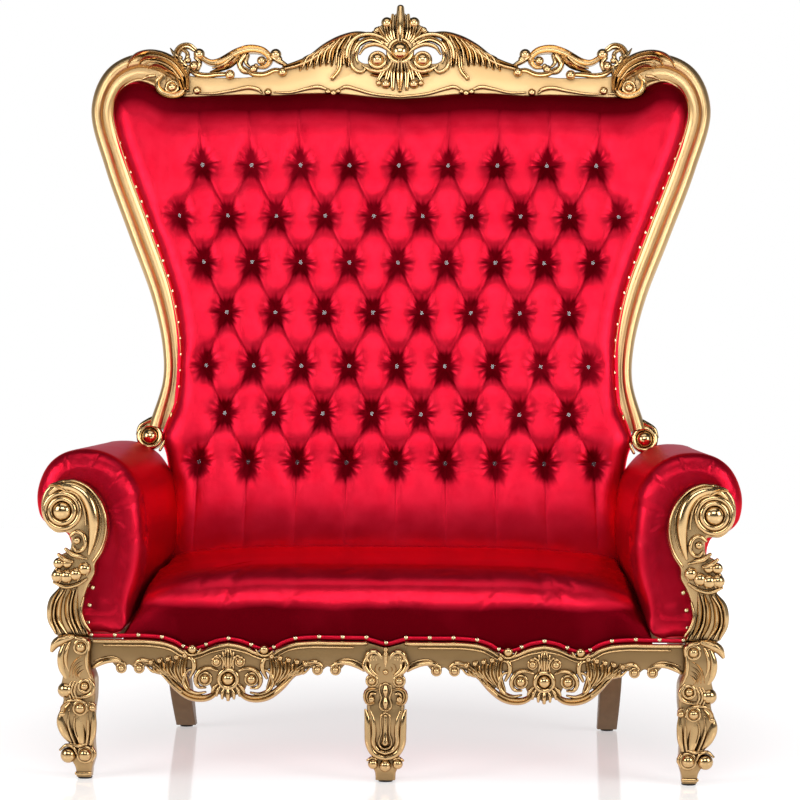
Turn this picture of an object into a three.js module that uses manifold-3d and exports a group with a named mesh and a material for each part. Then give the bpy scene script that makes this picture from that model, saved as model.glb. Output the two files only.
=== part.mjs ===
// A two-seat throne: a carved and gilded wooden frame with a deep-buttoned satin back,
// a tight sprung seat and two rolled arms, standing on five feet.
// Millimetres, +Z up, the front faces -Y, origin on the floor under the middle of the object.
import * as THREE from "three";
import { ParametricGeometry } from "three/addons/geometries/ParametricGeometry.js";
import { mergeVertices } from "three/addons/utils/BufferGeometryUtils.js";
import Module from "manifold-3d";

const wasm = await Module();
wasm.setup();

// ---- driving dimensions ----
const GAP = 0.4; // clearance left between pieces that touch
const FINEST = 2; // detail smaller than this is left out
const LEAN = THREE.MathUtils.degToRad(9); // the back leans this far from upright
const BACK_Y = 110; // where the front plane of the back frame would meet the floor
const BOARD = 44; // thickness of the back frame's timber
const GLIDE = 5; // height of the pads under the feet
const RAIL_BOTTOM = 250;
const RAIL_FRONT = -408; // face of the apron's plank, under its carving
const RAIL_BACK = -396;
const RUN = 304; // half the length of one run of the apron
const RUN_MIDDLE = 351; // middle of a run from the middle of the throne
const SIDE_TOP = 317.6; // top of the side and rear rails
const LEG_BACK = -356;
const POST_FRONT = -422;
const ARM_FRONT = -378;
const ARM_ROUND = 14; // rounding of the arm's padded front edge
const ARM_INNER = 545; // inner face of an arm
const SEAT_HALF = 600; // half the seat's width at its front edge
const SEAT_BOTTOM = 284;

// ---- finishes ----
const gold = new THREE.MeshStandardMaterial({ color: 0xc9963f, roughness: 0.28, metalness: 1 });
const satin = new THREE.MeshStandardMaterial({ color: 0xb00018, roughness: 0.42, metalness: 0.1 });
const pad = new THREE.MeshStandardMaterial({ color: 0x2a211b, roughness: 0.7, metalness: 0 });

// ---- solids ----

// A closed three.js geometry as a solid, with shared points merged and collapsed faces dropped.
function solid(geometry) {
  const bare = geometry.clone();
  bare.deleteAttribute("normal");
  bare.deleteAttribute("uv");
  const merged = mergeVertices(bare, 1e-3);
  const index = merged.index.array;
  const kept = [];
  for (let i = 0; i < index.length; i += 3) {
    const [a, b, c] = index.slice(i, i + 3);
    if (a !== b && b !== c && a !== c) kept.push(a, b, c);
  }
  const made = new wasm.Manifold(
    new wasm.Mesh({
      numProp: 3,
      vertProperties: new Float32Array(merged.attributes.position.array),
      triVerts: new Uint32Array(kept),
    }),
  );
  return made.volume() < 0 ? solid(flipped(merged.setIndex(kept))) : made;
}

// The same surface with every face turned round.
function flipped(geometry) {
  const index = Array.from(geometry.index.array);
  for (let i = 0; i < index.length; i += 3) [index[i], index[i + 1]] = [index[i + 1], index[i]];
  return geometry.clone().setIndex(index);
}

function geometryOf(manifold) {
  const { vertProperties, triVerts, numProp } = manifold.getMesh();
  const position = new Float32Array((vertProperties.length / numProp) * 3);
  for (let i = 0; i < position.length / 3; i++)
    position.set(vertProperties.subarray(i * numProp, i * numProp + 3), i * 3);
  const geometry = new THREE.BufferGeometry();
  geometry.setAttribute("position", new THREE.BufferAttribute(position, 3));
  geometry.setIndex(Array.from(triVerts));
  geometry.computeVertexNormals();
  return geometry;
}

// All the solids as one body, with its slivers simplified away and its inner hollows filled.
function join(solids) {
  const sum = solids.slice(1).reduce((all, part) => all.add(part), solids[0]);
  const whole = sum.asOriginal().simplify(FINEST);
  const shells = whole.decompose().filter((shell) => shell.volume() > 0);
  return shells.slice(1).reduce((all, shell) => all.add(shell), shells[0]);
}

// The largest body of a part, without the crumbs a cut can leave.
function largest(part) {
  return part.decompose().sort((a, b) => b.volume() - a.volume())[0];
}

function mirrored(part) {
  return solid(flipped(geometryOf(part).scale(-1, 1, 1)));
}

function piece(name, part, material) {
  const mesh = new THREE.Mesh(geometryOf(part), material);
  mesh.name = name;
  return mesh;
}

function moved(geometry, x, y, z) {
  return solid(geometry.translate(x, y, z));
}

// ---- forms ----

// A closed body through sections: ring(t, share) is the point at t along it and share round it.
// Two extra rows close the ends at the middle of the first and last section.
function loft(ring, around, stations) {
  const rows = stations + 2;
  const middle = (t) => {
    const sum = new THREE.Vector3();
    for (let i = 0; i < around; i++) sum.add(ring(t, i / around));
    return sum.divideScalar(around);
  };
  const place = (share, v, target) => {
    const row = Math.round(v * rows);
    const t = THREE.MathUtils.clamp((row - 1) / stations, 0, 1);
    const turn = Math.round(share * around) % around;
    target.copy(row === 0 || row === rows ? middle(t) : ring(t, turn / around));
  };
  return solid(new ParametricGeometry(place, around, rows));
}

// A value read off a short list of stops at t from 0 to 1, straight between them.
function along(stops, t) {
  const at = t * (stops.length - 1);
  const low = Math.min(Math.floor(at), stops.length - 2);
  return THREE.MathUtils.lerp(stops[low], stops[low + 1], at - low);
}

function curveThrough(points) {
  return new THREE.CatmullRomCurve3(points.map(([x, z]) => new THREE.Vector3(x, 0, z)));
}

// A carved band: an oval section carried along a curve in the plane of the work, narrowing at its ends.
// widths are stops along it, y is the depth of its middle and rise is how thick it is for its width.
function band(points, widths, { y = 0, rise = 0.62, sides = 3, steps = 4 } = {}) {
  const curve = curveThrough(points);
  return loft(
    (t, share) => {
      const at = curve.getPointAt(t);
      const run = curve.getTangentAt(t);
      const half = Math.max(along(widths, t) / 2, 0.8);
      const turn = share * 2 * Math.PI + Math.PI / 2;
      const across = Math.cos(turn) * half;
      const depth = Math.sin(turn) * Math.max(half * rise * 1.6, 9);
      return new THREE.Vector3(at.x - run.z * across, y - depth, at.z + run.x * across);
    },
    sides,
    steps,
  );
}

function ball(x, z, r, y = 0, squash = 1) {
  return moved(new THREE.SphereGeometry(r, 6, 3).rotateX(Math.PI / 2).scale(1, squash, 1), x, y, z);
}

// A raised ring facing the front, with its middle at x, z.
function ring(x, z, rx, rz, tube, y = 0) {
  const torus = new THREE.TorusGeometry(1, tube / rx, 3, 8).rotateX(Math.PI / 2);
  return moved(torus.scale(rx, rx, rz), x, y, z);
}

// A flat board with its outline in the plane of the work, from y front to y back.
function board(outline, front, back) {
  const shape = new THREE.Shape(outline.map(([x, z]) => new THREE.Vector2(x, z)));
  const geometry = new THREE.ExtrudeGeometry(shape, { depth: back - front, bevelEnabled: false });
  return solid(geometry.rotateX(Math.PI / 2).translate(0, back, 0));
}

// The same board seen from the side: its outline in y and z, from x left to x right.
function sideBoard(outline, left, right) {
  const shape = new THREE.Shape(outline.map(([y, z]) => new THREE.Vector2(y, z)));
  const geometry = new THREE.ExtrudeGeometry(shape, { depth: right - left, bevelEnabled: false });
  return solid(geometry.rotateX(Math.PI / 2).rotateZ(Math.PI / 2).translate(left, 0, 0));
}

function box(x0, x1, y0, y1, z0, z1) {
  const geometry = new THREE.BoxGeometry(x1 - x0, y1 - y0, z1 - z0);
  return moved(geometry, (x0 + x1) / 2, (y0 + y1) / 2, (z0 + z1) / 2);
}

// Points of a smooth line through a few, for a board's outline.
function smooth(points, count) {
  return new THREE.SplineCurve(points.map(([x, z]) => new THREE.Vector2(x, z)))
    .getSpacedPoints(count)
    .map((p) => [p.x, p.y]);
}

const bothSides = (parts) => parts.flatMap((part) => [part, mirrored(part)]);

// ---- back frame: two stiles and a carved crest, drawn flat and then leaned back ----

// The stile's middle line from its scrolled foot, out and up, and over the top corner.
const STILE = [
  [592, 773], [566, 892], [569, 985], [596, 1110], [656, 1272], [725, 1454], [763, 1600],
  [731, 1680], [678, 1709], [622, 1700], [576, 1668],
];
const STILE_WIDTH = [64, 50, 50, 56, 60, 60, 62, 72, 76, 84, 84];
// The moulding across the stile: share of its width from the outer edge, and depth.
const MOULDING = [
  [0, BOARD], [0, 10], [0.07, -5], [0.27, -16], [0.45, -6], [0.55, 3], [0.86, 3], [0.9, -4],
  [1, -2], [1, BOARD],
];

// One stile; spare widens it all round, for the rebate cut in what lies against it.
function stile(spare = 0) {
  const curve = curveThrough(STILE);
  const count = MOULDING.length;
  return loft(
    (t, share) => {
      const at = curve.getPoint(t);
      const run = curve.getTangent(t);
      const width = along(STILE_WIDTH, t) + spare;
      const [across, depth] = MOULDING[Math.round(share * count) % count];
      const side = (0.5 - across) * width;
      const y = depth + Math.sign(depth - BOARD / 2) * spare;
      return new THREE.Vector3(at.x + run.z * side, y, at.z - run.x * side);
    },
    count,
    14,
  );
}

// Lower edge of the crest board from the corner to the middle, then its upper edge back.
const CREST_LOW = [
  [600, 1636], [545, 1631], [460, 1635], [381, 1637], [314, 1635], [237, 1640], [150, 1639],
  [61, 1630], [-2, 1626],
];
const CREST_TOP = [
  [-2, 1775], [32, 1770], [58, 1792], [100, 1802], [155, 1790], [194, 1767], [232, 1738],
  [268, 1724], [300, 1712], [385, 1686], [440, 1684], [520, 1686], [548, 1690], [600, 1690],
];

function crestBoard() {
  const hollow = moved(new THREE.CylinderGeometry(25, 25, 200, 8), 82, 0, 1737);
  return board([...smooth(CREST_LOW, 8), ...CREST_TOP], 0, BOARD - 6).subtract(hollow);
}

// Leaves of the crest's wing: where each leaves the ridge, and its tip.
const WING_LEAVES = [
  [214, 1756, 257, 1701], [192, 1771, 230, 1703], [172, 1782, 209, 1709], [155, 1789, 190, 1713],
  [126, 1797, 142, 1712], [108, 1794, 122, 1704],
];

function wingLeaf([rootX, rootZ, x, z]) {
  return band([[rootX, rootZ], [(rootX + x) / 2 + 7, (rootZ + z) / 2 + 8], [x, z]], [12, 16, 5]);
}

// The crest's carving on one side, from the corner to the middle.
function crestCarving() {
  const open = { y: 8, rise: 1 };
  return [
    // scroll at the foot of the stile
    ring(619, 753, 28, 28, 8, 8),
    ball(619, 753, 23, 4),
    ball(604, 784, 17, 16),
    band([[600, 800], [622, 792], [646, 780], [652, 764]], [30, 22, 14, 8], { y: 8, rise: 1 }),
    // acanthus over the corner
    band([[556, 1672], [580, 1710], [625, 1736], [672, 1738], [703, 1706]], [10, 18, 19, 16, 3]),
    band([[560, 1668], [588, 1700], [624, 1720], [655, 1726], [682, 1712]], [9, 16, 16, 13, 3]),
    band([[566, 1664], [592, 1690], [618, 1706], [640, 1712], [660, 1708]], [8, 13, 13, 11, 3]),
    // corner volute
    band(
      [
        [634, 1690], [620, 1704], [594, 1702], [564, 1688], [549, 1660], [558, 1636], [580, 1628],
        [600, 1642],
      ],
      [6, 13, 15, 16, 16, 14, 12, 8],
      { y: -4, steps: 7 },
    ),
    ball(580, 1651, 17, -6),
    // sprig above the corner
    band([[546, 1650], [552, 1690], [543, 1708]], [8, 13, 10], open),
    band(
      [[543, 1706], [564, 1722], [576, 1744], [566, 1764], [548, 1768], [530, 1758]],
      [12, 16, 17, 17, 15, 12],
      open,
    ),
    ball(519, 1747, 15, 6),
    ball(531, 1716, 11, 2),
    band([[566, 1736], [582, 1748], [592, 1762]], [10, 9, 3], open),
    // lower S
    band(
      [[543, 1708], [525, 1694], [502, 1689], [472, 1692], [440, 1692]],
      [12, 13, 13, 13, 12],
      { y: 2, rise: 1 },
    ),
    ball(437, 1691, 13, -3),
    // upper chain with its scroll
    band(
      [
        [514, 1738], [489, 1723], [466, 1724], [418, 1749], [385, 1758], [350, 1751], [334, 1730],
        [348, 1712], [368, 1700],
      ],
      [12, 13, 15, 18, 18, 15, 12, 10, 9],
      { ...open, steps: 6 },
    ),
    ball(355, 1728, 13, 2),
    band([[336, 1728], [346, 1731], [355, 1728]], [10, 12, 10], open),
    band([[408, 1748], [436, 1722], [482, 1700]], [18, 17, 8], open),
    band([[402, 1746], [410, 1722], [402, 1702], [384, 1696]], [16, 14, 12, 9], open),
    ball(377, 1706, 11, 2),
    // second lower S
    band(
      [[402, 1708], [378, 1694], [350, 1694], [322, 1704], [303, 1700]],
      [10, 12, 12, 11, 10],
      { y: 2, rise: 1 },
    ),
    ball(303, 1699, 12, -2),
    // drop and its tail
    ball(320, 1746, 15, 6),
    band([[334, 1744], [320, 1744], [306, 1730], [290, 1716]], [12, 24, 18, 12], open),
    // wing of long leaves
    band(
      [
        [300, 1722], [263, 1731], [232, 1743], [194, 1770], [155, 1791], [112, 1801], [70, 1795],
        [30, 1762],
      ],
      [8, 14, 17, 20, 22, 24, 22, 14],
      { y: 4, rise: 0.9, steps: 7 },
    ),
    ...WING_LEAVES.map(wingLeaf),
    band([[142, 1794], [162, 1762], [163, 1716], [176, 1680]], [10, 15, 13, 13], { y: -4, steps: 5 }),
    // great scroll beside the boss
    band(
      [
        [30, 1752], [48, 1774], [76, 1784], [104, 1772], [118, 1748], [115, 1718], [96, 1702],
        [84, 1712],
      ],
      [12, 16, 18, 18, 17, 15, 13, 8],
      { y: -3, rise: 0.8, steps: 7 },
    ),
    ball(59, 1728, 20, -4),
    band(
      [[84, 1728], [76, 1708], [54, 1699], [32, 1710], [18, 1742]],
      [8, 13, 14, 13, 10],
      { y: -3, rise: 0.8 },
    ),
    band([[66, 1688], [42, 1693], [22, 1708], [10, 1732]], [6, 13, 13, 10], { y: -4 }),
    // fan above the boss
    band([[8, 1768], [14, 1812], [22, 1856]], [9, 14, 5], { y: 0, rise: 1 }),
    band([[12, 1768], [24, 1798], [36, 1826]], [9, 14, 12], { y: 0, rise: 1 }),
    ball(36, 1829, 15, 0),
    band([[16, 1764], [36, 1792], [58, 1808], [73, 1808]], [10, 16, 17, 6], { y: 0, rise: 1, steps: 5 }),
    // fan below the boss
    band([[6, 1736], [10, 1690], [22, 1650]], [8, 11, 5], { y: -3 }),
    ball(36, 1668, 14, -3),
    band([[10, 1732], [22, 1698], [34, 1672]], [8, 11, 10], { y: -3 }),
    // moulding and beads on the lower edge
    band([[515, 1640], [449, 1645], [388, 1658], [364, 1648]], [6, 9, 12, 10]),
    band([[322, 1645], [282, 1645], [210, 1658], [178, 1648]], [6, 9, 12, 10]),
    band([[150, 1650], [124, 1656], [60, 1639], [-1, 1633]], [10, 12, 9, 9]),
    ball(521, 1648, 12, -4),
    ball(338, 1644, 11, -3),
  ];
}
function backFrame() {
  const centre = [
    ball(0, 1752, 24, -8, 0.9),
    ring(0, 1752, 29, 22, 7, -6),
    band([[0, 1764], [0, 1815], [0, 1872]], [10, 22, 12], { y: 0, rise: 1, sides: 6 }),
    band([[0, 1740], [0, 1685], [0, 1642]], [9, 17, 5], { y: -3 }),
    board(
      [
        [-24, 1850], [-66, 1808], [-30, 1765], [0, 1755], [30, 1765], [66, 1808], [24, 1850],
        [0, 1868],
      ],
      0,
      24,
    ),
  ];
  const cornerHole = moved(new THREE.CylinderGeometry(11, 11, 120, 8), 606, 0, 1674);
  const oneSide = join([stile(), ...crestCarving()]).subtract(cornerHole);
  return join([...bothSides([crestBoard(), oneSide]), ...centre]);
}

// ---- upholstered back: a padded panel inside the frame, and the plain cloth behind it ----

// Half the opening's outline from the foot of the panel up to the middle of the crest.
const OPENING = [
  [ARM_INNER - GAP, 330], [ARM_INNER - GAP, 752], [556, 756], [556, 800], [548, 899], [549, 1002],
  [570, 1118],
  [604, 1221], [652, 1345], [686, 1431], [716, 1510], [735, 1590], [722, 1640], [694, 1668],
  [650, 1668], [624, 1630],
  ...smooth(CREST_LOW, 8).map(([x, z]) => [Math.max(x, 0), z - (x > 500 ? 12 : 1.5)]),
];
const PAD_FRONT = -34; // how far the padding stands in front of the frame
const PANEL_BACK = 26;
const COVER_BACK = 36;

function wholeOutline(half) {
  return [...half, ...half.slice(0, -1).reverse().map(([x, z]) => [-x, z])];
}

function backPanel() {
  const core = board(wholeOutline(OPENING), 2, PANEL_BACK);
  const side = OPENING.slice(1, 12).map(([x, s]) => [Math.min(x, 716), s]);
  const heights = side.map(([, s]) => s);
  const padding = loft(
    (t, share) => {
      const s = THREE.MathUtils.lerp(334, 1612, t);
      const above = heights.findIndex((h) => h > s);
      const [low, high] = above < 1 ? [side[0], side[0]] : [side[above - 1], side[above]];
      const reach = THREE.MathUtils.mapLinear(s, low[1], high[1] + 1e-6, low[0], high[0]);
      const width = (above < 0 ? 712 : reach) - 5;
      const i = Math.round(share * 12);
      const across = THREE.MathUtils.clamp((i - 5) / 5, -1, 1);
      const crown = Math.min(1, 0.5 + 4 * t, 0.3 + 5 * (1 - t)) * (1 - across ** 6);
      const y = i === 11 || i === 12 ? 12 : 1 + (PAD_FRONT - 1) * crown;
      return new THREE.Vector3(i === 12 ? -width : across * width, y, s);
    },
    12,
    12,
  );
  const rebate = stile(2 * GAP);
  return largest(join([core, padding]).subtract(rebate).subtract(mirrored(rebate)));
}

function backCover() {
  const rebate = stile(2 * GAP);
  const cover = board(wholeOutline(OPENING), PANEL_BACK + GAP, COVER_BACK);
  return cover.subtract(rebate).subtract(mirrored(rebate));
}

// ---- arms and seat ----

// Section of the right arm at its front, from the outer foot over the roll to the inner foot.
const ARM_SECTION = [
  [722, 318], [717, 420], [713, 520], [726, 545], [757, 553], [785, 577], [795, 622], [787, 667],
  [768, 702], [738, 727], [690, 737], [640, 729], [597, 703], [563, 655], [549, 590],
  [ARM_INNER, 512], [555, 444], [576, 377], [596, 318],
];

function arm() {
  const shape = new THREE.Shape(ARM_SECTION.map(([x, z]) => new THREE.Vector2(x, z)));
  const roll = new THREE.ExtrudeGeometry(shape, {
    depth: 700,
    bevelThickness: ARM_ROUND,
    bevelSize: ARM_ROUND,
    bevelOffset: -ARM_ROUND,
    bevelSegments: 2,
  });
  const whole = solid(roll.rotateX(Math.PI / 2).translate(0, ARM_FRONT + ARM_ROUND + 700, 0));
  const behind = box(400, 900, COVER_BACK, 800, 100, 1000);
  const bed = moved(new THREE.CylinderGeometry(42, 42, 200, 16), 619, 0, 753);
  return whole.subtract(leaned(behind)).subtract(leaned(bed));
}

const SEAT_REAR = 190; // under the padding of the back, which cuts it off
const SEAT_REAR_FOOT = -100;
const SEAT_SIDE_DROP = 28; // how much lower the seat is beside the arms than in the middle
// Depth and height from the foot of the front face, over the edge and along the top.
const SEAT_PROFILE = [
  [RAIL_BACK + GAP, SEAT_BOTTOM], [RAIL_BACK + GAP, 350], [-394, 384], [-385, 416], [-363, 443],
  [-322, 459], [-240, 466], [-40, 473], [80, 477], [SEAT_REAR, 480],
];

function seat(armRight) {
  const sections = 10;
  const body = loft(
    (t, share) => {
      const across = THREE.MathUtils.lerp(-1, 1, t);
      const count = SEAT_PROFILE.length;
      const i = Math.round(share * (count + 1));
      const foot = [i === count ? SEAT_REAR : SEAT_REAR_FOOT, SEAT_BOTTOM];
      const [y, z] = i < count ? SEAT_PROFILE[i] : foot;
      const drop = z > SEAT_BOTTOM + 50 ? SEAT_SIDE_DROP * Math.abs(across) ** 4 : 0;
      return new THREE.Vector3(across * SEAT_HALF, y, z - drop);
    },
    SEAT_PROFILE.length + 2,
    sections,
  );
  const clear = armRight.translate([-GAP, 0, 0]);
  const front = armRight.translate([0, -GAP, 0]);
  const back = leaned(box(-700, 700, PAD_FRONT - GAP, 400, 200, 600));
  const cuts = [clear, mirrored(clear), front, mirrored(front), back];
  return cuts.reduce((rest, cut) => rest.subtract(cut), body);
}

// ---- carved front: apron, posts and legs ----

// Half of one run of the apron, measured from its middle: top edge out, then lower edge back.
const APRON_TOP = [
  [-2, 306], [29, 301], [63, 287], [85, 283], [101, 287], [119, 298], [146, 307], [186, 311],
];
const APRON_LOW = [
  [264, 261], [242, 243], [222, 255], [202, 241], [186, 251], [168, 246], [141, 224], [118, 202],
  [96, 189], [73, 182], [47, 185], [33, 195], [18, 190], [-2, 179],
];
const apronCarving = () => [
  // bead, C-scroll and its leaves
  ball(82, 284, 13, RAIL_FRONT - 2),
  ball(52, 225, 15, RAIL_FRONT - 4),
  band(
    [[30, 214], [38, 194], [60, 183], [86, 190], [98, 212], [92, 236], [74, 244]],
    [10, 14, 16, 18, 16, 12, 6],
    { y: RAIL_FRONT, steps: 5 },
  ),
  band(
    [[24, 244], [40, 246], [58, 244], [70, 228], [60, 210]],
    [5, 8, 10, 10, 8],
    { y: RAIL_FRONT, steps: 6 },
  ),
  band(
    [[84, 188], [118, 210], [142, 238], [166, 258], [188, 262]],
    [12, 17, 16, 13, 7],
    { y: RAIL_FRONT },
  ),
  band([[96, 206], [112, 236], [134, 262], [156, 272]], [8, 14, 14, 6], { y: RAIL_FRONT }),
  band([[96, 220], [98, 246], [108, 268], [122, 282]], [8, 13, 14, 6], { y: RAIL_FRONT }),
  band([[90, 232], [84, 252], [84, 268]], [8, 13, 7], { y: RAIL_FRONT }),
  // beads and moulding of the straight end
  ball(239, 246, 12, RAIL_FRONT - 2),
  ball(199, 247, 12, RAIL_FRONT - 2),
  band([[240, 262], [266, 264], [290, 256], [RUN, 250]], [8, 11, 10, 6], { y: RAIL_FRONT }),
  band(
    [[40, 299], [70, 282], [98, 281], [122, 297], [150, 306], [200, 308], [RUN, 308]],
    [9, 10, 10, 10, 10, 10, 10],
    { y: RAIL_FRONT, steps: 7 },
  ),
  // palmette and small scrolls over the rosette
  ball(25, 263, 12, RAIL_FRONT - 4),
  band([[26, 276], [12, 268], [14, 248]], [7, 8, 6], { y: RAIL_FRONT }),
  band([[2, 250], [9, 270], [13, 284]], [6, 9, 5], { y: RAIL_FRONT }),
  // teeth under the rosette
  band([[8, 204], [20, 192], [30, 188]], [10, 13, 8], { y: RAIL_FRONT }),
];

function apronRun() {
  const half = [...smooth(APRON_TOP, 9), [RUN, 311], [RUN, RAIL_BOTTOM], [288, 254], ...APRON_LOW];
  const plank = board(half, RAIL_FRONT, RAIL_BACK);
  const hollow = moved(new THREE.CylinderGeometry(15, 15, 200, 7).scale(0.9, 1, 1.15), 76, 0, 215);
  const oneHalf = join([plank.subtract(hollow), ...apronCarving()]);
  const middle = [
    ring(0, 224, 20, 20, 7, RAIL_FRONT - 3),
    ball(0, 224, 13, RAIL_FRONT - 3),
    band([[0, 244], [0, 268], [0, 288]], [6, 11, 6], { y: RAIL_FRONT, steps: 3 }),
    band([[0, 206], [0, 190], [0, 180]], [9, 14, 8], { y: RAIL_FRONT, steps: 3 }),
    box(-RUN, RUN, RAIL_BACK - 1, RAIL_BACK + 24, RAIL_BOTTOM + 12, SEAT_BOTTOM - GAP),
  ];
  return join([...bothSides([oneHalf]), ...middle]);
}

const POST_OUTLINE = [
  [662, 318], [671, 345], [679, 374], [675, 401], [665, 430], [651, 457], [650, 478], [634, 505],
  [622, 547], [623, 576], [634, 614], [652, 640], [681, 660], [713, 667], [742, 660], [764, 640],
  [772, 608], [765, 575], [740, 549], [708, 546], [708, 508], [726, 499], [732, 478], [744, 463],
  [744, 441], [731, 423], [747, 400], [752, 374], [747, 345], [734, 318],
];

function post() {
  const y = POST_FRONT + 12;
  return join([
    board(POST_OUTLINE, y, ARM_FRONT - GAP),
    // rim and broad moulding of the scroll, and its boss
    band(
      [[716, 664], [681, 657], [653, 636], [635, 610], [627, 576], [627, 545], [637, 512], [656, 480]],
      [8, 8, 8, 8, 8, 8, 8, 6],
      { y, steps: 7 },
    ),
    band(
      [[735, 650], [700, 648], [672, 632], [654, 600], [651, 560], [657, 520], [666, 490]],
      [16, 24, 27, 27, 25, 17, 8],
      { y, steps: 6, rise: 0.5 },
    ),
    ring(724, 595, 37, 37, 13, y),
    ball(724, 595, 24, y - 2, 0.8),
    // comma
    band(
      [[704, 540], [690, 550], [675, 541], [671, 521], [682, 505], [696, 508]],
      [9, 11, 11, 11, 9, 7],
      { y, steps: 5 },
    ),
    // shell lobes, large over small
    ball(712, 498, 16, y, 0.8),
    band([[676, 486], [692, 480], [712, 482]], [9, 13, 8], { y }),
    ...[
      [730, 452, 16], [709, 450, 17], [688, 456, 16], [667, 466, 14],
    ].map(([x, z, r]) => ball(x, z, r, y - 1, 0.9)),
    band([[738, 436], [712, 428], [688, 434], [668, 446]], [8, 12, 12, 8], { y, steps: 5 }),
    // folds of the drapery
    ...[
      [[722, 418], [743, 390], [744, 352], [722, 322]],
      [[710, 420], [721, 388], [718, 352], [702, 322]],
      [[696, 420], [698, 388], [695, 356], [684, 322]],
      [[682, 420], [680, 396], [680, 366], [668, 336]],
    ].map((fold) => band(fold, [8, 15, 15, 8], { y, steps: 5 })),
  ]);
}

const LEG_OUTLINE = [
  [654, GLIDE], [690, GLIDE], [691, 28], [700, 38], [725, 46], [720, 68], [698, 80], [709, 97],
  [722, 119], [729, 143], [725, 162], [716, 179], [730, 192], [730, 206], [719, 226], [721, 257],
  [727, 284], [750, 290], [750, 302], [732, 317], [660, 317], [660, 269], [656, 242], [646, 224],
  [645, 186], [650, 150], [649, 100], [647, 52], [654, 35],
];
// How deep a leg is at each height, front face down and rear face up.
const LEG_SIDE = [
  [-430, 317], [-432, 240], [-428, 200], [-420, 178], [-430, 150], [-424, 105], [-412, 80],
  [-422, 60], [-414, 38], [-414, GLIDE], [-374, GLIDE], [-370, 60], [-374, 100], [-366, 170],
  [-356, 230], [-356, 317],
];

function cornerLeg() {
  const y = -424;
  const body = board(LEG_OUTLINE, -440, -350).intersect(sideBoard(LEG_SIDE, 600, 800));
  return join([
    body,
    band([[694, 316], [724, 313], [748, 291]], [12, 20, 6], { y }),
    ring(680, 304, 12, 12, 5, y - 4),
    ball(680, 304, 10, y - 6),
    band([[672, 288], [694, 282], [712, 262], [708, 232]], [8, 14, 15, 6], { y }),
    band([[668, 270], [688, 262], [696, 244], [690, 226]], [8, 13, 14, 8], { y }),
    band([[666, 250], [674, 240], [672, 226]], [8, 12, 8], { y }),
    ball(714, 206, 18, y + 2),
    ball(676, 212, 15, y - 2),
    band([[660, 228], [690, 196], [722, 190]], [8, 14, 10], { y: y + 2 }),
    ball(680, 166, 15, y - 2),
    ball(718, 160, 12, y + 4),
    band([[724, 154], [718, 112], [700, 84]], [12, 19, 9], { y: y + 4 }),
    band([[690, 152], [688, 112], [678, 80]], [22, 27, 16], { y: y + 4, rise: 0.4 }),
    band([[658, 172], [657, 120], [656, 82]], [8, 13, 9], { y: y + 4 }),
    ball(709, 57, 18, y + 8),
    ball(671, 57, 19, y + 6),
  ]);
}

const CENTRE_OUTLINE = [
  [0, 297], [40, 297], [46, 284], [45, 262], [37, 245], [42, 231], [38, 217], [44, 208], [42, 182],
  [46, 162], [38, 142], [38, 109], [35, 86], [30, 68], [26, 58], [38, 46], [36, 34], [23, 32],
  [22, GLIDE], [0, GLIDE],
];

function centreLeg() {
  const y = -424;
  const face = board(wholeOutline(CENTRE_OUTLINE.slice(1)), -440, -350);
  const body = face.intersect(sideBoard(LEG_SIDE, -100, 100));
  const oneSide = [
    band([[4, 262], [20, 276], [34, 294]], [8, 15, 8], { y }),
    ball(33, 275, 10, y),
    band([[42, 262], [30, 250], [18, 240]], [8, 12, 8], { y }),
    ball(32, 231, 11, y),
    band([[20, 214], [36, 208], [40, 192], [30, 184]], [8, 11, 11, 8], { y: y + 2, steps: 5 }),
    ball(29, 193, 9, y - 1),
    band([[42, 164], [32, 148], [30, 112], [27, 84]], [9, 13, 13, 9], { y: y + 3, steps: 5 }),
    ball(30, 44, 12, y + 8),
  ];
  const middle = [
    band([[0, 296], [0, 276], [0, 258]], [12, 17, 8], { y, steps: 3 }),
    band([[0, 244], [0, 222], [0, 192]], [16, 21, 18], { y: y - 1 }),
    band([[0, 168], [0, 120], [0, 78]], [20, 24, 14], { y: y + 2 }),
    ball(0, 182, 11, y),
    ball(0, 48, 14, y + 7),
  ];
  const underSeat = box(-100, 100, RAIL_BACK, -300, SEAT_BOTTOM - GAP, 400);
  return join([body, ...bothSides(oneSide), ...middle]).subtract(underSeat);
}

// ---- plain rails and rear legs ----

const REAR_RAIL_FRONT = 132;
const REAR_RAIL_BACK = 188;
// Side view of a sabre leg: its front line down, then its rear line up.
const SABRE = [
  [140, 250], [152, 180], [196, 110], [258, 52], [318, GLIDE], [358, GLIDE], [312, 62], [256, 118],
  [212, 184], [200, 250],
];

function rearLeg() {
  const taper = board([[507, 250], [563, 250], [561, GLIDE], [511, GLIDE]], 100, 400);
  return taper.intersect(sideBoard(SABRE, 480, 600));
}

function glide(x, y) {
  const puck = new THREE.CylinderGeometry(16, 16, GLIDE - GAP, 12).rotateX(Math.PI / 2);
  return moved(puck, x, y, (GLIDE - GAP) / 2);
}

// ---- hand over ----

function leaned(part) {
  return part.rotate([-THREE.MathUtils.radToDeg(LEAN), 0, 0]).translate([0, BACK_Y, 0]);
}

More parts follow.
